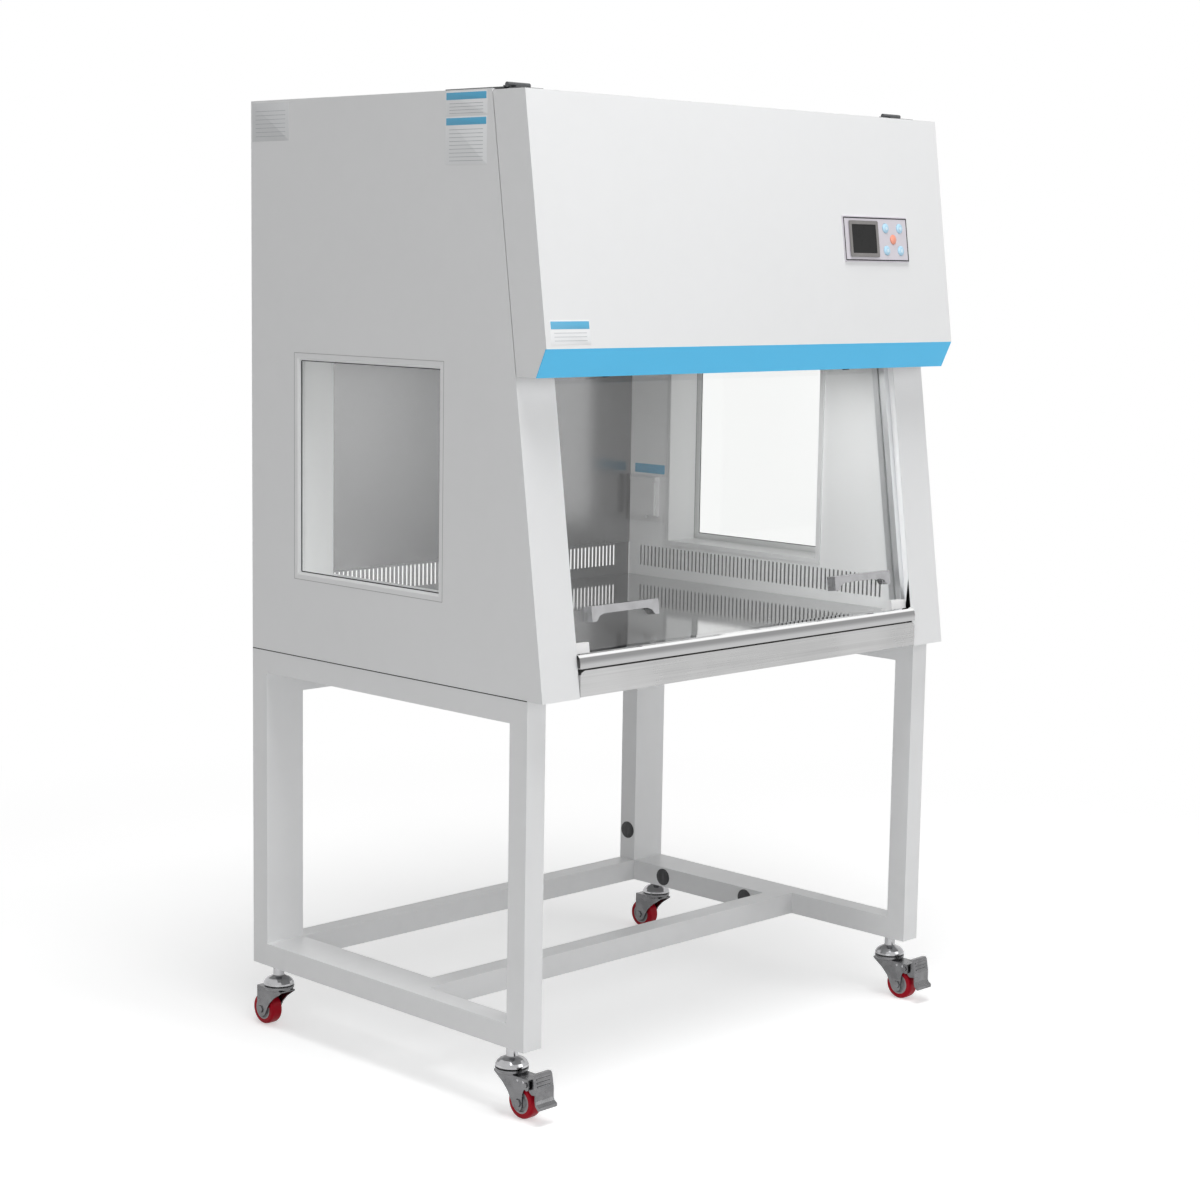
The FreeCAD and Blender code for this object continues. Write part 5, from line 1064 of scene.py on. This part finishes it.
@dataclass
class Hood(Assembly):
    """Hinged front cover with its band, hinges and control panel."""

    keys: ClassVar[Sequence[str]] = ("upper_left", "upper_right", "lower_left", "lower_right", "centre")
    nodes = ("hood_cover", "hood_band", "hinge_cabinet_leaves", "hinge_cover_leaves", "control_panel_plate",
             "display_screen", *(f"button_{key}" for key in keys))
    screw: float = 3.2 * MM
    rise: float = 1.6 * MM
    screw_side: float = 23.5 * MM
    screw_backs: tuple[float, float] = (15 * MM, 74 * MM)
    line: float = 2.0 * MM
    edge: float = 6 * MM
    bezel: tuple[float, float] = (79 * MM, 63 * MM)
    bezel_width: float = 6.5 * MM
    print_and_highlight_radius: float = 3.2 * MM
    card_place: tuple[float, float] = (54 * MM, 574 * MM)

    def build(self) -> None:
        """Adds hinge screws, the panel's dark edge, the screen's bezel, a pale disc on the keys that is print and
        painted highlight, and a blank card.
        """
        self.hinge_screws()
        self.panel()
        self.card()

    def hinge_screws(self) -> None:
        """Two screws in each leaf on the cabinet's top."""
        low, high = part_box("hinge_cabinet_leaves")
        down, up = Vector((0, 0, -1)), Vector((0, 0, 1))
        spots = [(touch("hinge_cabinet_leaves", (x, y, high.z + 0.05), down), up)
                 for x in (low.x + self.screw_side, high.x - self.screw_side)
                 for y in (high.y - back for back in self.screw_backs)]
        fasten("hinge_screws", screw_head(self.screw, self.rise), spots, SCREW_ZINC, "cabinet", 21)

    def face(self, node: str, x: float, z: float) -> Matrix:
        """The seat on a sloping front at this place, X across and Y up the slope."""
        out = Vector((0, -math.cos(SLOPE), math.sin(SLOPE)))
        point = touch(node, (x, -1.0, z), (0, 1, 0))
        return seat(point, (1, 0, 0), out)

    def panel(self) -> None:
        """Dark edge round the plate, bezel round the screen, and on each blue key a pale disc that stands for its
        print and for a painted highlight.
        """
        low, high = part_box("control_panel_plate")
        height = (high.z - low.z) / math.cos(SLOPE)
        middle = self.face("control_panel_plate", low.x + self.edge, between(low, high).z)
        middle = middle @ Matrix.Translation(((high.x - low.x) / 2 - self.edge, 0, 0))
        size = (high.x - low.x, height - 2 * self.line)
        finished("panel_edge", border(size, self.line, 0.4 * MM, 1.2 * MM), BLACK_GASKET_AND_SHADE, "hood", [middle])
        middle = between(*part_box("display_screen"))
        screen = self.face("display_screen", middle.x, middle.z)
        finished("screen_bezel", border(self.bezel, self.bezel_width, 0.8 * MM, 2.5 * MM),
                 Moulded("bezel_grey", (0.20, 0.19, 0.185), 0.38), "hood", [screen])
        for key in self.keys[:4]:
            middle = between(*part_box(f"button_{key}"))
            top = self.face(f"button_{key}", middle.x, middle.z)
            radius = self.print_and_highlight_radius
            dot = loft([(circle(radius), -0.02 * MM), (circle(radius), 0.04 * MM), (circle(radius * 0.9), 0.06 * MM)])
            finished(f"key_print_{key}", dot, KEY_PRINT_AND_HIGHLIGHT, f"key_{key}", [top])

    def card(self) -> None:
        """Blank card low on the cover's left."""
        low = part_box("hood_cover")[0]
        place = self.face("hood_cover", low.x + self.card_place[0],
                          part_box("left_side_panel")[0].z + self.card_place[1])
        Sticker("cover_card", 0.086, 0.038, VINYL, ((0.002, 0.012),), (3, 0.020, 0.006)).build(
            place, "hood", "cabinet_paint")


@dataclass
class Sash(Assembly):
    """Sliding glass sash with its guides, handles, stops and end blocks."""

    nodes = ("sash_glass", "sash_handles", "sash_guides", "sash_stops", "guide_end_blocks")


@dataclass
class AirPlant(Assembly):
    """Filter, blower and intake above the ceiling."""

    nodes = ("hepa_filter", "blower_deck", "blower_housing", "blower_impeller", "blower_motor", "prefilter")
    pleat_pitch: float = 6.5 * MM
    pleat_depth: float = 2.2 * MM
    pleat_margins: tuple[float, float] = (40 * MM, 30 * MM)
    pleat_profile: Sequence[tuple[float, float]] = ((0.98, 0.0), (0.55, 0.6), (0.2, 1.0))
    pleat_radius: float = 0.3 * MM
    guard_bar: tuple[float, float, float] = (3 * MM, 1.6 * MM, 1.2 * MM)
    guard_pitch: float = 13 * MM
    guard_margin: float = 20 * MM

    def build(self) -> None:
        """Folds pleats under the main filter and lays guard bars over the intake's filter."""
        low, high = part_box("hepa_filter")
        length = high.y - low.y - self.pleat_margins[1]
        count = int((high.x - low.x - self.pleat_margins[0]) / self.pleat_pitch)
        face = seat((*between(low, high).xy, low.z), (1, 0, 0), (0, 0, -1))
        pleat = loft([(rounded(self.pleat_pitch * wide, length, self.pleat_radius, 1), self.pleat_depth * deep)
                      for wide, deep in self.pleat_profile])
        bars("filter_pleats", pleat, face, count, (-(count - 1) / 2 * self.pleat_pitch, 0.0, 0.0),
             (self.pleat_pitch, 0.0, 0.0), FINISHES["filter_white"], "cabinet")
        low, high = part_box("prefilter")
        width = high.x - low.x - self.guard_margin
        count = int((high.y - low.y - self.guard_margin) / self.guard_pitch) + 1
        face = seat((*between(low, high).xy, high.z), (1, 0, 0), (0, 0, 1))
        bars("intake_guard", plate(width, *self.guard_bar), face, count,
             (0.0, -(count - 1) / 2 * self.guard_pitch, 0.0), (0.0, self.guard_pitch, 0.0),
             FINISHES["galvanised"], "cabinet")


# Studio

@dataclass
class Studio:
    """Camera, lamps, white world and pale floor."""

    eye: Point = (-3.1135, -3.0855, 1.36565)
    yaw: float = 45.17
    pitch: float = 7.83
    roll: float = 0.93
    lens: float = 73.84
    ambient: float = 0.27
    softboxes: Sequence[tuple[str, Point, Point, float, float]] = (
        ("front_softbox", (1.6, -4.4, 2.3), (0.0, -0.2, 1.0), 2.6, 50.0),
        ("side_softbox", (-4.4, -2.8, 1.8), (0.0, 0.0, 1.1), 2.6, 34.0),
        ("top_softbox", (-0.5, -0.9, 4.6), (0.0, 0.0, 0.4), 1.8, 120.0))
    strip_power: float = 1.2
    strip_drop: float = 10 * MM
    strip_margin: float = 40 * MM
    floor_size: float = 60.0
    floor_lift: float = 0.48
    floor_fade: tuple[float, float] = (1.1, 2.6)

    @staticmethod
    def put(name: str, data: bpy.types.ID, place: Point, turn: Matrix) -> bpy.types.Object:
        """Sets a camera or a lamp in the scene, turned this way, and returns it."""
        item = bpy.data.objects.new(name, data)
        item.matrix_world = Matrix.Translation(Vector(place)) @ turn
        bpy.context.scene.collection.objects.link(item)
        return item

    def camera(self) -> None:
        """The camera that the photograph was taken from."""
        yaw, pitch, roll = (math.radians(angle) for angle in (self.yaw, self.pitch, self.roll))
        ahead = Vector((math.sin(yaw) * math.cos(pitch), math.cos(yaw) * math.cos(pitch), -math.sin(pitch)))
        right = ahead.cross(Vector((0, 0, 1))).normalized()
        up = right.cross(ahead)
        tilted_right = right * math.cos(roll) + up * math.sin(roll)
        tilted_up = up * math.cos(roll) - right * math.sin(roll)
        data = bpy.data.cameras.new("photo_camera")
        data.lens = self.lens
        data.sensor_width = 36.0
        data.clip_end = 200.0
        turn = Matrix((tilted_right, tilted_up, -ahead)).transposed().to_4x4()
        bpy.context.scene.camera = self.put("photo_camera", data, self.eye, turn)

    def lamp(self, name: str, place: Point, target: Point, size: tuple[float, float], power: float) -> None:
        """A softbox or a strip light.

        Args:
            name: The lamp's name.
            place: Where it stands.
            target: The point that it looks at.
            size: Its sides in metres.
            power: Its power in watts.
        """
        data = bpy.data.lights.new(name, "AREA")
        data.shape = "RECTANGLE"
        data.size, data.size_y = size
        data.energy = power
        aim = (Vector(target) - Vector(place)).to_track_quat("-Z", "Y")
        self.put(name, data, place, aim.to_matrix().to_4x4())

    @staticmethod
    def seen(tree: Tree) -> Wire:
        """1 for rays that show the background: to the camera, by reflection or through glass."""
        path = tree.add("ShaderNodeLightPath")
        return path.also("Is Camera Ray") | path.also("Is Glossy Ray") | path.also("Is Transmission Ray")

    def world(self) -> None:
        """White where it is seen, softer where it lights."""
        world = bpy.data.worlds.new("white_studio")
        world.use_nodes = True
        tree = Tree(world.node_tree)
        strength = self.seen(tree) * (1 - self.ambient) + self.ambient
        sky = tree.add("ShaderNodeBackground", {}, {"Color": (1.0, 1.0, 1.0), "Strength": strength})
        tree.add("ShaderNodeOutputWorld", {}, {"Surface": sky})
        bpy.context.scene.world = world

    def floor(self) -> None:
        """A pale floor that goes white with distance and keeps the cabinet's soft shadow."""
        half = self.floor_size / 2
        mesh = bpy.data.meshes.new("studio_floor")
        mesh.from_pydata([(-half, -half, 0), (half, -half, 0), (half, half, 0), (-half, half, 0)], [], [(0, 1, 2, 3)])
        material = bpy.data.materials.new("floor_white")
        material.use_nodes = True
        tree = Tree(material.node_tree)
        away = tree.vector("LENGTH", tree.place((1.0, 1.0, 0.0))).also("Value").ramp(*self.floor_fade)
        grain = tree.noise(tree.place(), 160.0, 3.0)
        pale = tree.principled({"Base Color": tree.mix(grain, (0.78, 0.78, 0.78), (0.80, 0.80, 0.80)),
                                "Roughness": 0.9, "Specular IOR Level": 0.0})
        near = tree.add("ShaderNodeAddShader", {}, {0: pale, 1: tree.glow(self.floor_lift)})
        shown = tree.blend(away, near, tree.glow(1.0))
        tree.add("ShaderNodeOutputMaterial", {}, {"Surface": tree.blend(self.seen(tree), pale, shown)})
        mesh.materials.append(material)
        floor = bpy.data.objects.new("studio_floor", mesh)
        bpy.context.scene.collection.objects.link(floor)

    def build(self) -> None:
        """Sets the whole studio."""
        bpy.context.scene.view_settings.view_transform = "Standard"
        self.camera()
        self.world()
        for name, place, target, side, power in self.softboxes:
            self.lamp(name, place, target, (side, side), power)
        low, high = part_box("led_lamp")
        x, y = between(low, high).xy
        self.lamp("chamber_strip", (x, y, low.z - self.strip_drop), (x, y, 0.0),
                  (high.x - low.x - self.strip_margin, high.y - low.y), self.strip_power)
        self.floor()
        log.info("studio: camera, world, lamps and floor")


def main() -> None:
    """Builds and dresses the cabinet, sub-assembly by sub-assembly."""
    logging.basicConfig(level=logging.INFO, format="%(name)s %(message)s")
    Studio().build()
    for assembly in (Stand(), Castors(), Shell(), Windows(), Chamber(), Sash(), Hood(), AirPlant()):
        assembly.build()
        assembly.dress()
        log.info("%s is done", type(assembly).__name__)


if __name__ == "__main__":
    main()
